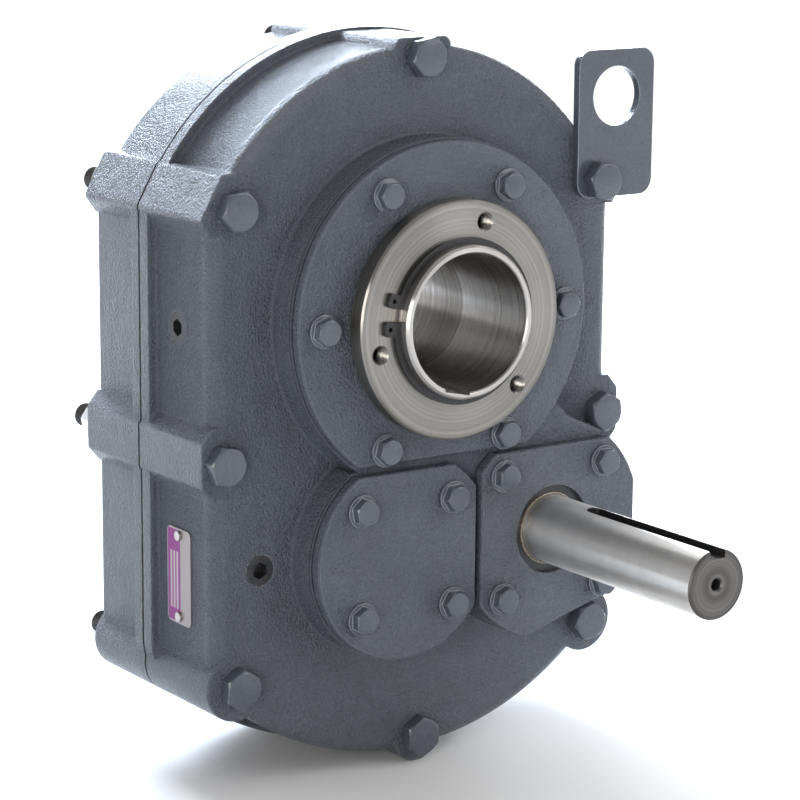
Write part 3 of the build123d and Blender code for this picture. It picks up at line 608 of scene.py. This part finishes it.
def settle() -> Piece:
    """Move the new piece's place into its mesh.

    Returns:
        The piece.
    """
    piece = bpy.context.active_object
    pick(piece)
    bpy.ops.object.transform_apply(location=True, rotation=True, scale=True)
    return piece


def cylinder(radius: float, near: float, far: float, facets: Facets) -> Piece:
    """Add a cylinder on the depth axis.

    Args:
        radius: Its radius.
        near: Depth of its front end.
        far: Depth of its rear end.
        facets: Number of sides. The hexagon has a corner at the top.

    Returns:
        The new piece.
    """
    clear()
    bpy.ops.mesh.primitive_cylinder_add(
        vertices=facets.value,
        radius=radius,
        depth=far - near,
        location=(0.0, (near + far) / 2, 0.0),
        rotation=(math.pi / 2, 0, 0),
    )
    return settle()


def block(middle: Point, size: Point, turn: float = 0.0) -> Piece:
    """Add a block.

    Args:
        middle: Its middle.
        size: Its width, depth and height.
        turn: Its turn about the depth, in radians.

    Returns:
        The new piece.
    """
    clear()
    bpy.ops.mesh.primitive_cube_add(size=1.0, location=middle, rotation=(0.0, turn, 0.0), scale=size)
    return settle()


def lathe(stations: Sequence[Station], facets: Facets, place: Place = OUTPUT_AXIS) -> Piece:
    """Turn a closed profile about an axis along the depth.

    Args:
        stations: Corners of the profile, as radius and depth.
        facets: Faces round the axis.
        place: Where the axis passes in the front view.

    Returns:
        The turned piece.
    """
    clear()
    bpy.ops.mesh.primitive_circle_add(vertices=len(stations), radius=1.0, fill_type="NOTHING")
    piece = bpy.context.active_object
    for vertex, (radius, depth) in zip(piece.data.vertices, stations):
        vertex.co = (radius, depth, 0.0)
    open_mesh()
    bpy.ops.mesh.spin(
        steps=facets.value, angle=2 * math.pi, center=(0, 0, 0), axis=(0, 1, 0), use_auto_merge=True
    )
    bpy.ops.mesh.select_all(action="SELECT")
    bpy.ops.mesh.remove_doubles(threshold=0.002 * MM)
    bpy.ops.mesh.normals_make_consistent(inside=False)
    bpy.ops.object.mode_set(mode="OBJECT")
    piece.location = (place[0], 0.0, place[1])
    return settle()


def shape(piece: Piece, tool: Piece, shaping: Shaping = Shaping.CUT) -> Piece:
    """Shape a piece with another, which is then removed.

    Args:
        piece: The piece that stays.
        tool: The piece that shapes it.
        shaping: What the tool does to the piece.

    Returns:
        The piece.
    """
    pick(piece)
    change = piece.modifiers.new("cut", "BOOLEAN")
    change.operation = shaping.value
    change.object = tool
    change.solver = "EXACT"
    bpy.ops.object.modifier_apply(modifier=change.name)
    bpy.data.objects.remove(tool, do_unlink=True)
    return piece


def soften(piece: Piece, width: float) -> Piece:
    """Round a piece's sharp edges.

    Args:
        piece: The piece to round.
        width: Width of the rounding.

    Returns:
        The piece.
    """
    pick(piece)
    change = piece.modifiers.new("soften", "BEVEL")
    change.width = width
    change.segments = 2
    change.limit_method = "ANGLE"
    change.angle_limit = math.radians(Crease.PLAIN.value)
    change.harden_normals = False
    bpy.ops.object.modifier_apply(modifier=change.name)
    return piece


def smooth(piece: Piece, crease: Crease = Crease.PLAIN) -> Piece:
    """Shade a piece smooth but for its sharp edges.

    Args:
        piece: The piece.
        crease: Which edges stay sharp.

    Returns:
        The piece.
    """
    pick(piece)
    bpy.ops.object.shade_smooth_by_angle(angle=math.radians(crease.value))
    return piece


def join(pieces: Sequence[Piece]) -> Piece:
    """Join pieces into one.

    Args:
        pieces: The pieces.

    Returns:
        The joined piece.
    """
    clear()
    for piece in pieces:
        piece.select_set(True)
    bpy.context.view_layer.objects.active = pieces[0]
    bpy.ops.object.join()
    return pieces[0]


def copy(piece: Piece, place: Place, depth: float = 0.0, turn: float = 0.0) -> Piece:
    """Copy a piece with a mesh of its own.

    Args:
        piece: The piece, modelled on the depth axis.
        place: Where the copy's axis passes in the front view.
        depth: How far the copy is moved along the depth.
        turn: Its turn about its axis, in radians.

    Returns:
        The copy.
    """
    twin = piece.copy()
    twin.data = piece.data.copy()
    bpy.context.scene.collection.objects.link(twin)
    twin.data.transform(Matrix.Rotation(turn, 4, "Y"))
    twin.data.transform(Matrix.Translation((place[0], depth, place[1])))
    return twin


def paint(piece: Piece, material: Material, wanted: Callable[[list[Vector], Vector], bool]) -> None:
    """Give some faces of a piece another finish.

    Args:
        piece: The piece, which has its first finish already.
        material: The other finish.
        wanted: Tells from a face's corners and normal whether it is one of them.
    """
    piece.data.materials.append(material)
    index = len(piece.data.materials) - 1
    for face in piece.data.polygons:
        corners = [piece.data.vertices[number].co for number in face.vertices]
        if wanted(corners, face.normal):
            face.material_index = index


def within(corners: Sequence[Vector], places: Sequence[Place], reach: float) -> bool:
    """Whether all the corners lie within reach of one of the axes along the depth."""
    return any(all(math.hypot(c.x - x, c.z - z) < reach for c in corners) for x, z in places)


def turn_round(piece: Piece) -> None:
    """Mirror a piece to the rear side of the joint and keep its faces outwards."""
    piece.data.transform(Matrix.Scale(-1.0, 4, (0.0, 1.0, 0.0)))
    piece.data.flip_normals()


def from_solid(node: str) -> Piece:
    """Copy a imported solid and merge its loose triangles, so that it can be shaded smooth.

    Args:
        node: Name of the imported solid.

    Returns:
        The copy.
    """
    piece = bpy.data.objects.new(node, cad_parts[node].data.copy())
    bpy.context.scene.collection.objects.link(piece)
    piece.data.materials.clear()
    pick(piece)
    if piece.data.has_custom_normals:
        bpy.ops.mesh.customdata_custom_splitnormals_clear()
    open_mesh()
    bpy.ops.mesh.remove_doubles(threshold=0.003 * MM)
    bpy.ops.object.mode_set(mode="OBJECT")
    return piece


def dress(piece: Piece, name: str, material: Material, body: Body, slot: str, *nodes: str) -> None:
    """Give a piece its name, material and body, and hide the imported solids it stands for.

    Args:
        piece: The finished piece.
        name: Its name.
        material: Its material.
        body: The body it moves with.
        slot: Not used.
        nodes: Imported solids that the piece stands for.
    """
    piece.name = name
    if not piece.data.materials:
        piece.data.materials.append(material)
    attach(piece, body.value)
    if nodes:
        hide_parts(*nodes)
    log.info("dressed %s", name)


def redress(
    node: str, name: str, material: Material, body: Body, slot: str, crease: Crease = Crease.PLAIN
) -> None:
    """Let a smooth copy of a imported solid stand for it."""
    dress(smooth(from_solid(node), crease), name, material, body, slot, node)


def reclothe(node: str, material: Material) -> None:
    """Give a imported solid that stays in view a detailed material.

    Args:
        node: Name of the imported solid.
        material: The material.
    """
    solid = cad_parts[node]
    solid.data.materials.clear()
    solid.data.materials.append(material)


# Sub-assemblies


@dataclass
class Housing:
    """Split cast housing with its plugs, dowels and lifting plate."""

    palette: Palette

    def build(self) -> None:
        """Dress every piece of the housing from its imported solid."""
        for node in ("front_housing", "rear_housing"):
            redress(node, node + "_cast", self.palette.cast, Body.HOUSING, "painted_iron", Crease.CAST)
        coat = self.palette.bolt
        redress("lifting_plate", "lifting_eye_plate", coat, Body.HOUSING, "painted_steel")
        redress("pipe_plugs", "oil_plugs", self.palette.black, Body.HOUSING, "black_steel")
        reclothe("dowel_pins", self.palette.inner_steel)


@dataclass
class Covers:
    """Seal carriers and bearing covers in front of and behind the housing."""

    palette: Palette
    nodes: tuple[str, ...] = (
        "front_seal_carrier",
        "rear_seal_carrier",
        "countershaft_cover",
        "input_cover",
        "backstop_cover",
    )

    def build(self) -> None:
        """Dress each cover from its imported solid."""
        look = (self.palette.cover, Body.HOUSING, "painted_iron", Crease.COVER)
        for node in self.nodes:
            redress(node, node + "_painted", *look)


@dataclass
class Fastener:
    """One kind of hexagon bolt, with its washer where it has one.

    The chamfer is a share of the head's height, and the flat share is how much of the width
    across flats the end face keeps.
    """

    flats: float
    head: float
    radius: float
    washer: float = 0.0
    washer_thickness: float = 0.0
    chamfer: float = 0.13
    flat_share: float = 0.97
    shank: float = 12 * MM
    rounding: float = 0.35 * MM

    def head_piece(self) -> Piece:
        """Model a chamfered hexagon head that sits in front of depth 0.

        Returns:
            The head.
        """
        corner = self.flats / math.sqrt(3)
        drop = self.chamfer * self.head
        stations = [
            (0.0, -self.head),
            (self.flats / 2 * self.flat_share, -self.head),
            (corner * 1.01, -self.head + drop + 0.4 * MM),
            (corner * 1.01, 0.1 * MM),
            (0.0, 0.1 * MM),
        ]
        head = cylinder(corner, -self.head, 0.0, Facets.HEXAGON)
        return soften(shape(head, lathe(stations, Facets.FASTENER), Shaping.TRIM), self.rounding)

    def model(self) -> Piece:
        """Model the head, washer and a short shank, with the flange face at depth 0.

        Returns:
            The fastener.
        """
        head = self.head_piece()
        head.data.transform(Matrix.Translation((0.0, -self.washer_thickness, 0.0)))
        pieces = [head]
        if self.washer:
            ring = cylinder(self.washer, -self.washer_thickness, 0.0, Facets.FASTENER)
            pieces.append(soften(ring, self.rounding))
        pieces.append(cylinder(self.radius, -0.2 * MM, self.shank, Facets.SHANK))
        return smooth(join(pieces), Crease.BOLT)


@dataclass
class Fasteners:
    """All the bolts, washers and nuts of the reducer."""

    palette: Palette
    case_bolt: Fastener = field(default_factory=lambda: Fastener(19.05 * MM, 7.9 * MM, 6.35 * MM))
    small_bolt: Fastener = field(
        default_factory=lambda: Fastener(12.7 * MM, 5.3 * MM, 3.97 * MM, 8.7 * MM, 1.65 * MM)
    )
    case_ends: tuple[Place, ...] = ((0.0, 131.0 * MM), (0.0, -230.0 * MM))
    case_pairs: tuple[Place, ...] = (
        (113.0 * MM, 60.5 * MM),
        (120.7 * MM, -67.0 * MM),
        (112.5 * MM, -184.5 * MM),
    )
    lifting_thickness: float = 4.76 * MM
    nut_height: float = 11.1 * MM
    nut_chamfer: float = 1.3 * MM
    nut_corner_share: float = 1.01
    hole_share: float = 1.02
    sink_share: float = 1.2
    sink_depth: float = 0.7 * MM
    sink_over: float = 0.1 * MM
    end_gap: float = 0.3 * MM
    thread_lead: float = 1.0 * MM
    thread_stop: float = 1.6 * MM
    tip_length: float = 1.2 * MM
    stickout: float = 15.4 * MM
    thread_pitch: float = 1.95 * MM
    thread_root: float = 0.88
    tip_share: float = 0.74
    carrier_circle: float = 75.5 * MM
    carrier_face: float = -85.0 * MM
    cover_face: float = -86.0 * MM
    counter_half: float = 28.5 * MM
    input_half: float = 33.5 * MM
    turn_step: float = 0.9
    turn_across: float = 0.2
    case_turn_step: float = 0.7
    case_turn_start: float = 0.35

    def case_places(self) -> list[Place]:
        """Places of the eight case bolts in the front view."""
        pairs = [(side * across, height) for across, height in self.case_pairs for side in (1, -1)]
        return [*self.case_ends, *pairs]

    def carrier_places(self) -> list[Place]:
        """Places of one carrier's bolts."""
        angles = [math.radians(60 * step) for step in range(6)]
        return [(self.carrier_circle * math.cos(a), self.carrier_circle * math.sin(a)) for a in angles]

    @staticmethod
    def square(half: float, centre: Place) -> list[Place]:
        """Four places at the corners of a square."""
        return [(centre[0] + sx * half, centre[1] + sz * half) for sx in (-1, 1) for sz in (-1, 1)]

    def small_groups(self) -> None:
        """Copy the small bolts to the carriers and covers, and dress each group."""
        master = self.small_bolt.model()
        carrier = self.carrier_places()
        counter = self.square(self.counter_half, COUNTERSHAFT_AXIS)
        entry = self.square(self.input_half, INPUT_AXIS)
        rows = (
            ("front_carrier_bolts", carrier, self.carrier_face, Side.FRONT),
            ("rear_carrier_bolts", carrier, self.carrier_face, Side.REAR),
            ("countershaft_cover_bolts", counter, self.cover_face, Side.FRONT),
            ("input_cover_bolts", entry, self.cover_face, Side.FRONT),
            ("backstop_cover_bolts", entry, self.cover_face, Side.REAR),
        )
        for node, places, face, side in rows:
            copies = []
            for number, place in enumerate(places):
                turn = self.turn_step * number + self.turn_across * place[0] / MM
                copies.append(copy(master, place, face, turn))
                if side is Side.REAR:
                    turn_round(copies[-1])
            dress(join(copies), node + "_set", self.palette.bolt, Body.HOUSING, "painted_steel", node)
        bpy.data.objects.remove(master, do_unlink=True)

    def threaded_end(self) -> Piece:
        """Model the bolt's end behind its nut, with rings for its thread.

        Returns:
            The end, from the rear face to its chamfered tip.
        """
        start = REAR_Y + self.end_gap
        end = REAR_Y + self.nut_height + self.stickout
        radius = self.case_bolt.radius
        root = radius * self.thread_root
        stations: list[Station] = [(0.0, start), (root, start)]
        depth = start + self.nut_height - self.thread_lead
        while depth < end - self.thread_stop:
            stations += [(root, depth), (radius, depth + self.thread_pitch / 2)]
            depth += self.thread_pitch
        stations += [(root, end - self.tip_length), (radius * self.tip_share, end), (0.0, end)]
        return smooth(lathe(stations, Facets.THREAD), Crease.THREAD)

    def nut(self) -> Piece:
        """Model a nut with both ends chamfered, on the rear face.

        Returns:
            The nut.
        """
        half = self.case_bolt.flats / 2
        corner = self.case_bolt.flats / math.sqrt(3)
        thread = self.case_bolt.radius
        near = REAR_Y
        far = near + self.nut_height
        rim = corner * self.nut_corner_share
        hole_radius = thread * self.hole_share
        trim = [
            (0.0, near),
            (half, near),
            (rim, near + self.nut_chamfer),
            (rim, far - self.nut_chamfer),
            (half, far),
            (0.0, far),
        ]
        hole = [
            (0.0, near - MM),
            (hole_radius, near - MM),
            (hole_radius, far - self.sink_depth),
            (thread * self.sink_share, far + self.sink_over),
            (0.0, far + self.sink_over),
        ]
        nut = cylinder(corner, near, far, Facets.HEXAGON)
        shape(nut, lathe(trim, Facets.FASTENER), Shaping.TRIM)
        return smooth(shape(nut, lathe(hole, Facets.THREAD)), Crease.COVER)

    def case_group(self) -> None:
        """Case bolts in front, and their nuts and threaded ends behind."""
        head, end, nut = self.case_bolt.model(), self.threaded_end(), self.nut()
        heads, ends, nuts = [], [], []
        for number, place in enumerate(self.case_places()):
            lifted = self.lifting_thickness if place == self.case_pairs[0] else 0.0
            turn = self.case_turn_step * number + self.case_turn_start
            heads.append(copy(head, place, FACE_Y - lifted, turn))
            ends.append(copy(end, place))
            nuts.append(copy(nut, place, turn=turn))
        sets = (
            ("case_bolt_heads", heads, self.palette.bolt, "painted_steel", "case_bolts"),
            ("case_bolt_ends", ends, self.palette.thread, "black_steel"),
            ("case_nut_set", nuts, self.palette.zinc, "zinc_steel", "case_nuts"),
        )
        for name, pieces, material, slot, *nodes in sets:
            dress(join(pieces), name, material, Body.HOUSING, slot, *nodes)
        for master in (head, end, nut):
            bpy.data.objects.remove(master, do_unlink=True)

    def build(self) -> None:
        """Build and dress every fastener."""
        self.small_groups()
        self.case_group()


@dataclass
class OutputHub:
    """Hollow hub, backup plates and retaining rings."""

    palette: Palette
    half_length: float = 106.3 * MM
    end_radius: float = 39.5 * MM
    collar_radius: float = 44.5 * MM
    collar_back: float = 70.0 * MM
    seat_radius: float = 45.0 * MM
    seat_back: float = 47.0 * MM
    body_radius: float = 48.0 * MM
    flange_radius: float = 54.0 * MM
    flange_start: float = 2.0 * MM
    flange_end: float = 9.0 * MM
    mouth_radius: float = 35.7 * MM
    mouth_depth: float = 0.7 * MM
    mouth_chamfer: float = 0.6 * MM
    straight_radius: float = 32.1 * MM
    taper_length: float = 50.8 * MM
    chamfer: float = 1.2 * MM
    plate_back: float = 88.3 * MM
    plate_front: float = 98.3 * MM
    plate_radius: float = 61.8 * MM
    plate_chamfer: float = 1.0 * MM
    plate_back_chamfer: float = 0.5 * MM
    hole_circle: float = 51.7 * MM
    hole_radius: float = 4.0 * MM
    hole_chamfer: float = 1.3 * MM
    hole_start: float = 74.3
    thread_pitch: float = 1.6 * MM
    thread_depth: float = 0.75 * MM
    keyway_width: float = 15.9 * MM
    keyway_floor: float = 36.6 * MM
    keyway_angle: float = -102.7
    cutter_height: float = 12.0 * MM
    groove_depth: float = 1.5 * MM
    ring_thickness: float = 2.5 * MM
    bore_slack: float = 0.05 * MM
    plate_gap: float = 0.03 * MM
    hole_margin: float = 1.0 * MM
    thread_start: float = 0.9 * MM
    cutter_front: float = 0.2 * MM
    cutter_back: float = 0.5 * MM

    def profile(self) -> list[Station]:
        """Closed profile of the hub, with its ring grooves, bearing seats and tapered bore.

        Returns:
            The profile's corners, as radius and depth.
        """
        length, radius = self.half_length, self.end_radius
        groove = radius - self.groove_depth
        ring = -self.plate_front - self.ring_thickness
        end = [
            (radius - self.chamfer, -length),
            (radius, -length + self.chamfer),
            (radius, ring),
            (groove, ring),
            (groove, -self.plate_front),
            (radius, -self.plate_front),
            (radius, -self.plate_back),
            (self.collar_radius, -self.plate_back),
            (self.collar_radius, -self.collar_back),
            (self.seat_radius, -self.collar_back),
            (self.seat_radius, -self.seat_back),
            (self.body_radius, -self.seat_back),
        ]
        flange = [
            (self.body_radius, self.flange_start),
            (self.flange_radius, self.flange_start),
            (self.flange_radius, self.flange_end),
            (self.body_radius, self.flange_end),
        ]
        bore = [
            (self.straight_radius, self.taper_length - length),
            (self.mouth_radius, -length + self.mouth_depth),
            (self.mouth_radius + self.mouth_chamfer, -length),
        ]
        rear, far_bore = [[(r, -depth) for r, depth in reversed(half)] for half in (end, bore)]
        return end + flange + rear + far_bore + bore

    def hub(self) -> None:
        """Turn the hub, cut its keyway and dress it."""
        body = lathe(self.profile(), Facets.HUB)
        angle = math.radians(self.keyway_angle)
        middle = self.keyway_floor - self.cutter_height / 2
        place = (middle * math.cos(angle), 0.0, middle * math.sin(angle))
        size = (self.cutter_height, 2.2 * self.half_length, self.keyway_width)
        shape(body, block(place, size, -angle))
        smooth(body, Crease.TURNED)
        body.data.materials.append(self.palette.hub_steel)
        reach = self.straight_radius + self.bore_slack
        paint(
            body, self.palette.bore_steel, lambda corners, _: within(corners, [OUTPUT_AXIS], reach)
        )
        dress(body, "turned_hub", self.palette.hub_steel, Body.HUB, "steel", "output_hub")

    def plate(self, side: Side) -> None:
        """Model one backup plate with its chamfered rim and threaded puller holes.

        Args:
            side: Front or rear.
        """
        node = f"{side.value}_backup_plate"
        front, back, radius = -self.plate_front, -self.plate_back, self.plate_radius
        inner = self.end_radius + self.plate_gap
        stations = [
            (inner, front),
            (radius - self.plate_chamfer, front),
            (radius, front + self.plate_chamfer),
            (radius, back - self.plate_back_chamfer),
            (radius - self.plate_back_chamfer, back),
            (inner, back),
        ]
        body = lathe(stations, Facets.HUB)
        angles = [math.radians(self.hole_start + 120.0 * step) for step in range(3)]
        places = [(self.hole_circle * math.cos(a), self.hole_circle * math.sin(a)) for a in angles]
        for place in places:
            shape(body, self.thread_cutter(place))
        reach = self.hole_radius + self.hole_margin
        body.data.materials.append(self.palette.plate_steel)
        paint(body, self.palette.tapped, lambda corners, _: within(corners, places, reach))
        if side is Side.REAR:
            turn_round(body)
        smooth(body, Crease.TURNED)
        dress(body, node + "_turned", self.palette.plate_steel, Body.HUB, "steel", node)

    def thread_cutter(self, place: Place) -> Piece:
        """Model the cutter of one threaded hole: a chamfer, then rings for the thread.

        Args:
            place: Where the hole is in the front view.

        Returns:
            The cutter.
        """
        front, back, radius = -self.plate_front, -self.plate_back, self.hole_radius
        start, end = front - self.cutter_front, back + self.cutter_back
        stations = [(0.0, start), (radius + self.hole_chamfer, start)]
        depth = front + self.thread_start
        while depth < back:
            stations += [(radius, depth), (radius + self.thread_depth, depth + self.thread_pitch / 2)]
            depth += self.thread_pitch
        stations += [(radius, end), (0.0, end)]
        return lathe(stations, Facets.TAPPED, place)

    def build(self) -> None:
        """Build and dress every piece of the hub."""
        self.hub()
        for side in Side:
            self.plate(side)
        for side in Side:
            node = f"{side.value}_retaining_ring"
            redress(node, node + "_black", self.palette.black, Body.HUB, "black_steel")
        for node in ("output_gear", "output_gear_key", "output_spacer"):
            reclothe(node, self.palette.inner_steel)


@dataclass
class InputShaft:
    """Ground input shaft with its open keyway and the ring at its seal."""

    palette: Palette
    radius: float = 18.256 * MM
    journal_radius: float = 18.5 * MM
    journal_end: float = -88.0 * MM
    end: float = -218.5 * MM
    root: float = -72.0 * MM
    chamfer: float = 1.0 * MM
    keyway_width: float = 9.53 * MM
    keyway_depth: float = 4.76 * MM
    keyway_start: float = -117.7 * MM
    cutter_rise: float = 2.0 * MM
    hole_radius: float = 3.0 * MM
    hole_depth: float = 6.0 * MM
    hole_tip: float = 9.0 * MM
    hole_chamfer: float = 1.0 * MM
    hole_slack: float = 0.05 * MM
    recess_slack: float = 0.01 * MM
    skin: float = 0.4 * MM
    run_out: float = 0.1 * MM
    overlap: float = 0.02 * MM
    # The ring's corners, as rise above the journal and depth
    ring: tuple[Station, ...] = (
        (0.15 * MM, -83.6 * MM),
        (0.5 * MM, -84.1 * MM),
        (1.0 * MM, -83.9 * MM),
        (1.1 * MM, -82.8 * MM),
        (0.15 * MM, -82.8 * MM),
    )

    def extension(self) -> Piece:
        """Model the shaft outside the bearings, with a centre hole in its end.

        Returns:
            The turned extension.
        """
        end, radius, hole = self.end, self.radius, self.hole_radius
        stations = [
            (0.0, end + self.hole_tip),
            (hole, end + self.hole_depth),
            (hole, end + self.hole_chamfer),
            (hole + self.hole_chamfer, end),
            (radius - self.chamfer, end),
            (radius, end + self.chamfer),
            (radius, self.journal_end),
            (self.journal_radius, self.journal_end),
            (self.journal_radius, self.root),
            (0.0, self.root),
        ]
        return lathe(stations, Facets.SHAFT, INPUT_AXIS)

    def slot(self) -> Piece:
        """Model the keyway's cutter: open at the shaft's end and round at the other.

        Returns:
            The cutter.
        """
        half = self.keyway_width / 2
        floor = INPUT_AXIS[1] + self.radius - self.keyway_depth
        top = INPUT_AXIS[1] + self.radius + self.cutter_rise
        centre = self.keyway_start - half
        clear()
        bpy.ops.mesh.primitive_cylinder_add(
            vertices=Facets.FASTENER.value,
            radius=half,
            depth=top - floor,
            location=(INPUT_AXIS[0], centre, (top + floor) / 2),
        )
        round_end = settle()
        middle = (INPUT_AXIS[0], (centre + self.end - MM) / 2, (top + floor) / 2)
        run = block(middle, (self.keyway_width, centre - self.end + MM, top - floor))
        return shape(run, round_end, Shaping.ADD)

    def shaft(self) -> None:
        """Cut the keyway and dress the shaft, with its packed inner part beside it."""
        piece = smooth(shape(self.extension(), self.slot()), Crease.TURNED)
        piece.data.materials.append(self.palette.shaft_steel)
        paint(piece, self.palette.end_steel, lambda _, normal: normal.y < -0.5)
        paint(piece, self.palette.thread, lambda corners, _: self.in_recess(corners))
        dress(piece, "shaft_extension", self.palette.shaft_steel, Body.INPUT, "steel", "input_shaft")
        inner = from_solid("input_shaft")
        cut = (0.0, self.root + self.overlap, 0.0)
        open_mesh()
        bpy.ops.mesh.bisect(plane_co=cut, plane_no=(0.0, -1.0, 0.0), use_fill=True, clear_outer=True)
        bpy.ops.object.mode_set(mode="OBJECT")
        dress(smooth(inner), "shaft_inner", self.palette.shaft_steel, Body.INPUT, "steel")

    def in_recess(self, corners: Sequence[Vector]) -> bool:
        """Whether a face lies on the keyway's floor or walls, or in the centre hole.

        Args:
            corners: The face's corners.

        Returns:
            True for the keyway's and the centre hole's faces.
        """
        if within(corners, [INPUT_AXIS], self.hole_radius + self.hole_slack):
            return True
        centre = sum(corners, Vector()) / len(corners)
        top = INPUT_AXIS[1] + self.radius
        beside = abs(centre.x - INPUT_AXIS[0]) < self.keyway_width / 2 + self.recess_slack
        floor = top - self.keyway_depth - self.recess_slack
        below = floor < centre.z < top - self.skin
        return beside and below and centre.y < self.keyway_start + self.run_out

    def build(self) -> None:
        """Build and dress the shaft and the worn ring at its seal."""
        self.shaft()
        stations = [(self.journal_radius + rise, depth) for rise, depth in self.ring]
        ring = smooth(lathe(stations, Facets.LIP, INPUT_AXIS), Crease.LIP)
        dress(ring, "seal_lip_ring", self.palette.grease, Body.HOUSING, "seal_rubber")


@dataclass
class Inner:
    """Seals, bearings and gears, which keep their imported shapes."""

    palette: Palette

    def build(self) -> None:
        """Dress each inner solid."""
        for node in ("front_output_seal", "rear_output_seal", "input_seal"):
            redress(node, node + "_lip", self.palette.rubber, Body.HOUSING, "seal_rubber")
        nodes = ["countershaft", "countershaft_gear", "countershaft_gear_key", "countershaft_spacer"]
        for shaft in ("output", "countershaft", "input"):
            rings = [f"{shaft}_{side.value}_bearing_{ring}" for ring in ("cup", "cone") for side in Side]
            nodes += [*rings, f"{shaft}_bearing_rollers"]
        for node in nodes:
            reclothe(node, self.palette.inner_steel)


@dataclass
class Nameplate:
    """Blank plate on the left wall and its two rivets."""

    palette: Palette

    def build(self) -> None:
        """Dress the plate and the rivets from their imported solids."""
        redress("nameplate", "blank_plate", self.palette.print, Body.HOUSING, "plate")
        redress("nameplate_rivets", "plate_rivets", self.palette.hub_steel, Body.HOUSING, "plate")


# Studio


@dataclass(frozen=True)
class Lamp:
    """Soft rectangular lamp of a width, height and power in watts, which faces the object."""

    name: str
    place: Point
    size: tuple[float, float]
    power: float
    colour: Colour = (1.0, 1.0, 1.0)

    def hang(self) -> None:
        """Hang the lamp in its place."""
        data = bpy.data.lights.new(self.name, "AREA")
        data.shape = "RECTANGLE"
        data.size, data.size_y = self.size
        data.energy = self.power
        data.color = self.colour
        lamp = bpy.data.objects.new(self.name, data)
        bpy.context.scene.collection.objects.link(lamp)
        lamp.location = self.place
        lamp.rotation_euler = (-Vector(self.place)).to_track_quat("-Z", "Y").to_euler()


@dataclass
class Studio:
    """Pale floor, soft lights and the camera.

    The azimuth and fall are the camera's angles in degrees, its roll is in radians, and its
    focal length is in pixels of the photograph's frame.
    """

    palette: Palette
    floor_height: float = -245.2 * MM
    floor_size: float = 60.0
    camera_place: Point = (-0.83477, -1.23234, 0.25778)
    azimuth: float = 35.09
    fall: float = 12.0
    roll: float = 0.008
    focal_pixels: float = 2815.2
    image_pixels: float = 800.0
    sensor: float = 36.0
    near_clip: float = 0.05
    far_clip: float = 100.0
    sky_low: Colour = (0.8, 0.8, 0.8)
    sky_high: Colour = (1.0, 1.0, 1.02)
    sky_turn: float = 0.6
    sky_strength: float = 0.53
    lamps: tuple[Lamp, ...] = (
        Lamp("high", (0.1, 0.6, 1.8), (1.2, 1.2), 14.0),
        Lamp("back_left", (0.15, 2.0, 1.3), (1.0, 0.9), 95.0, (0.74, 0.85, 1.0)),
        Lamp("back_middle", (1.0, 1.9, 0.9), (1.0, 0.9), 27.0, (0.8, 0.89, 1.0)),
        Lamp("back_right", (1.3, 1.9, 0.35), (1.8, 0.6), 42.0, (0.84, 0.91, 1.0)),
        Lamp("front_left", (-1.8, -1.6, 0.2), (0.5, 1.2), 30.0, (1.0, 0.96, 0.92)),
        Lamp("front_right", (1.2, -1.8, 0.9), (0.6, 1.3), 11.0),
        Lamp("right_strip", (1.5, -0.9, 0.7), (0.3, 1.4), 9.0),
    )

    def floor(self) -> None:
        """Lay the floor."""
        clear()
        bpy.ops.mesh.primitive_plane_add(size=self.floor_size, location=(0.0, 0.0, self.floor_height))
        plane = bpy.context.active_object
        plane.name = "studio_floor"
        plane.data.materials.append(self.palette.floor)

    def camera(self) -> None:
        """Place the camera where the photograph was taken from."""
        turn = math.radians(self.azimuth)
        fall = math.radians(self.fall)
        ahead = Vector((math.cos(fall) * math.sin(turn), math.cos(fall) * math.cos(turn), -math.sin(fall)))
        right = Vector((math.cos(turn), -math.sin(turn), 0.0))
        up = right.cross(ahead)
        tilted = right * math.cos(self.roll) + up * math.sin(self.roll)
        upright = up * math.cos(self.roll) - right * math.sin(self.roll)
        data = bpy.data.cameras.new("studio_camera")
        data.sensor_width = self.sensor
        data.lens = self.focal_pixels / self.image_pixels * self.sensor
        data.clip_start = self.near_clip
        data.clip_end = self.far_clip
        camera = bpy.data.objects.new("studio_camera", data)
        bpy.context.scene.collection.objects.link(camera)
        rows = Matrix((tilted, upright, -ahead)).transposed()
        camera.matrix_world = Matrix.Translation(self.camera_place) @ rows.to_4x4()
        bpy.context.scene.camera = camera

    def sky(self) -> None:
        """Light the room evenly, a little less from below."""
        world = bpy.data.worlds.new("studio")
        world.use_nodes = True
        bpy.context.scene.world = world
        tree = world.node_tree
        background = tree.nodes["Background"]
        where, split, ramp = [
            tree.nodes.new("ShaderNode" + kind) for kind in ("TexCoord", "SeparateXYZ", "ValToRGB")
        ]
        tree.links.new(where.outputs["Generated"], split.inputs[0])
        tree.links.new(split.outputs[2], ramp.inputs[0])
        tree.links.new(ramp.outputs[0], background.inputs[0])
        low, high = ramp.color_ramp.elements
        low.color = rgba(self.sky_low)
        high.color = rgba(self.sky_high)
        high.position = self.sky_turn
        background.inputs[1].default_value = self.sky_strength

    def build(self) -> None:
        """Set the whole studio up."""
        self.floor()
        self.camera()
        self.sky()
        for lamp in self.lamps:
            lamp.hang()
        bpy.context.scene.view_settings.view_transform = "Standard"


def main() -> None:
    """Build every sub-assembly in order and report each."""
    logging.basicConfig(level=logging.INFO, format="%(name)s: %(message)s")
    palette = Palette()
    for part in (Housing, Covers, Fasteners, OutputHub, InputShaft, Inner, Nameplate, Studio):
        part(palette).build()
        log.info("built %s", part.__name__)


if __name__ == "__main__":
    main()
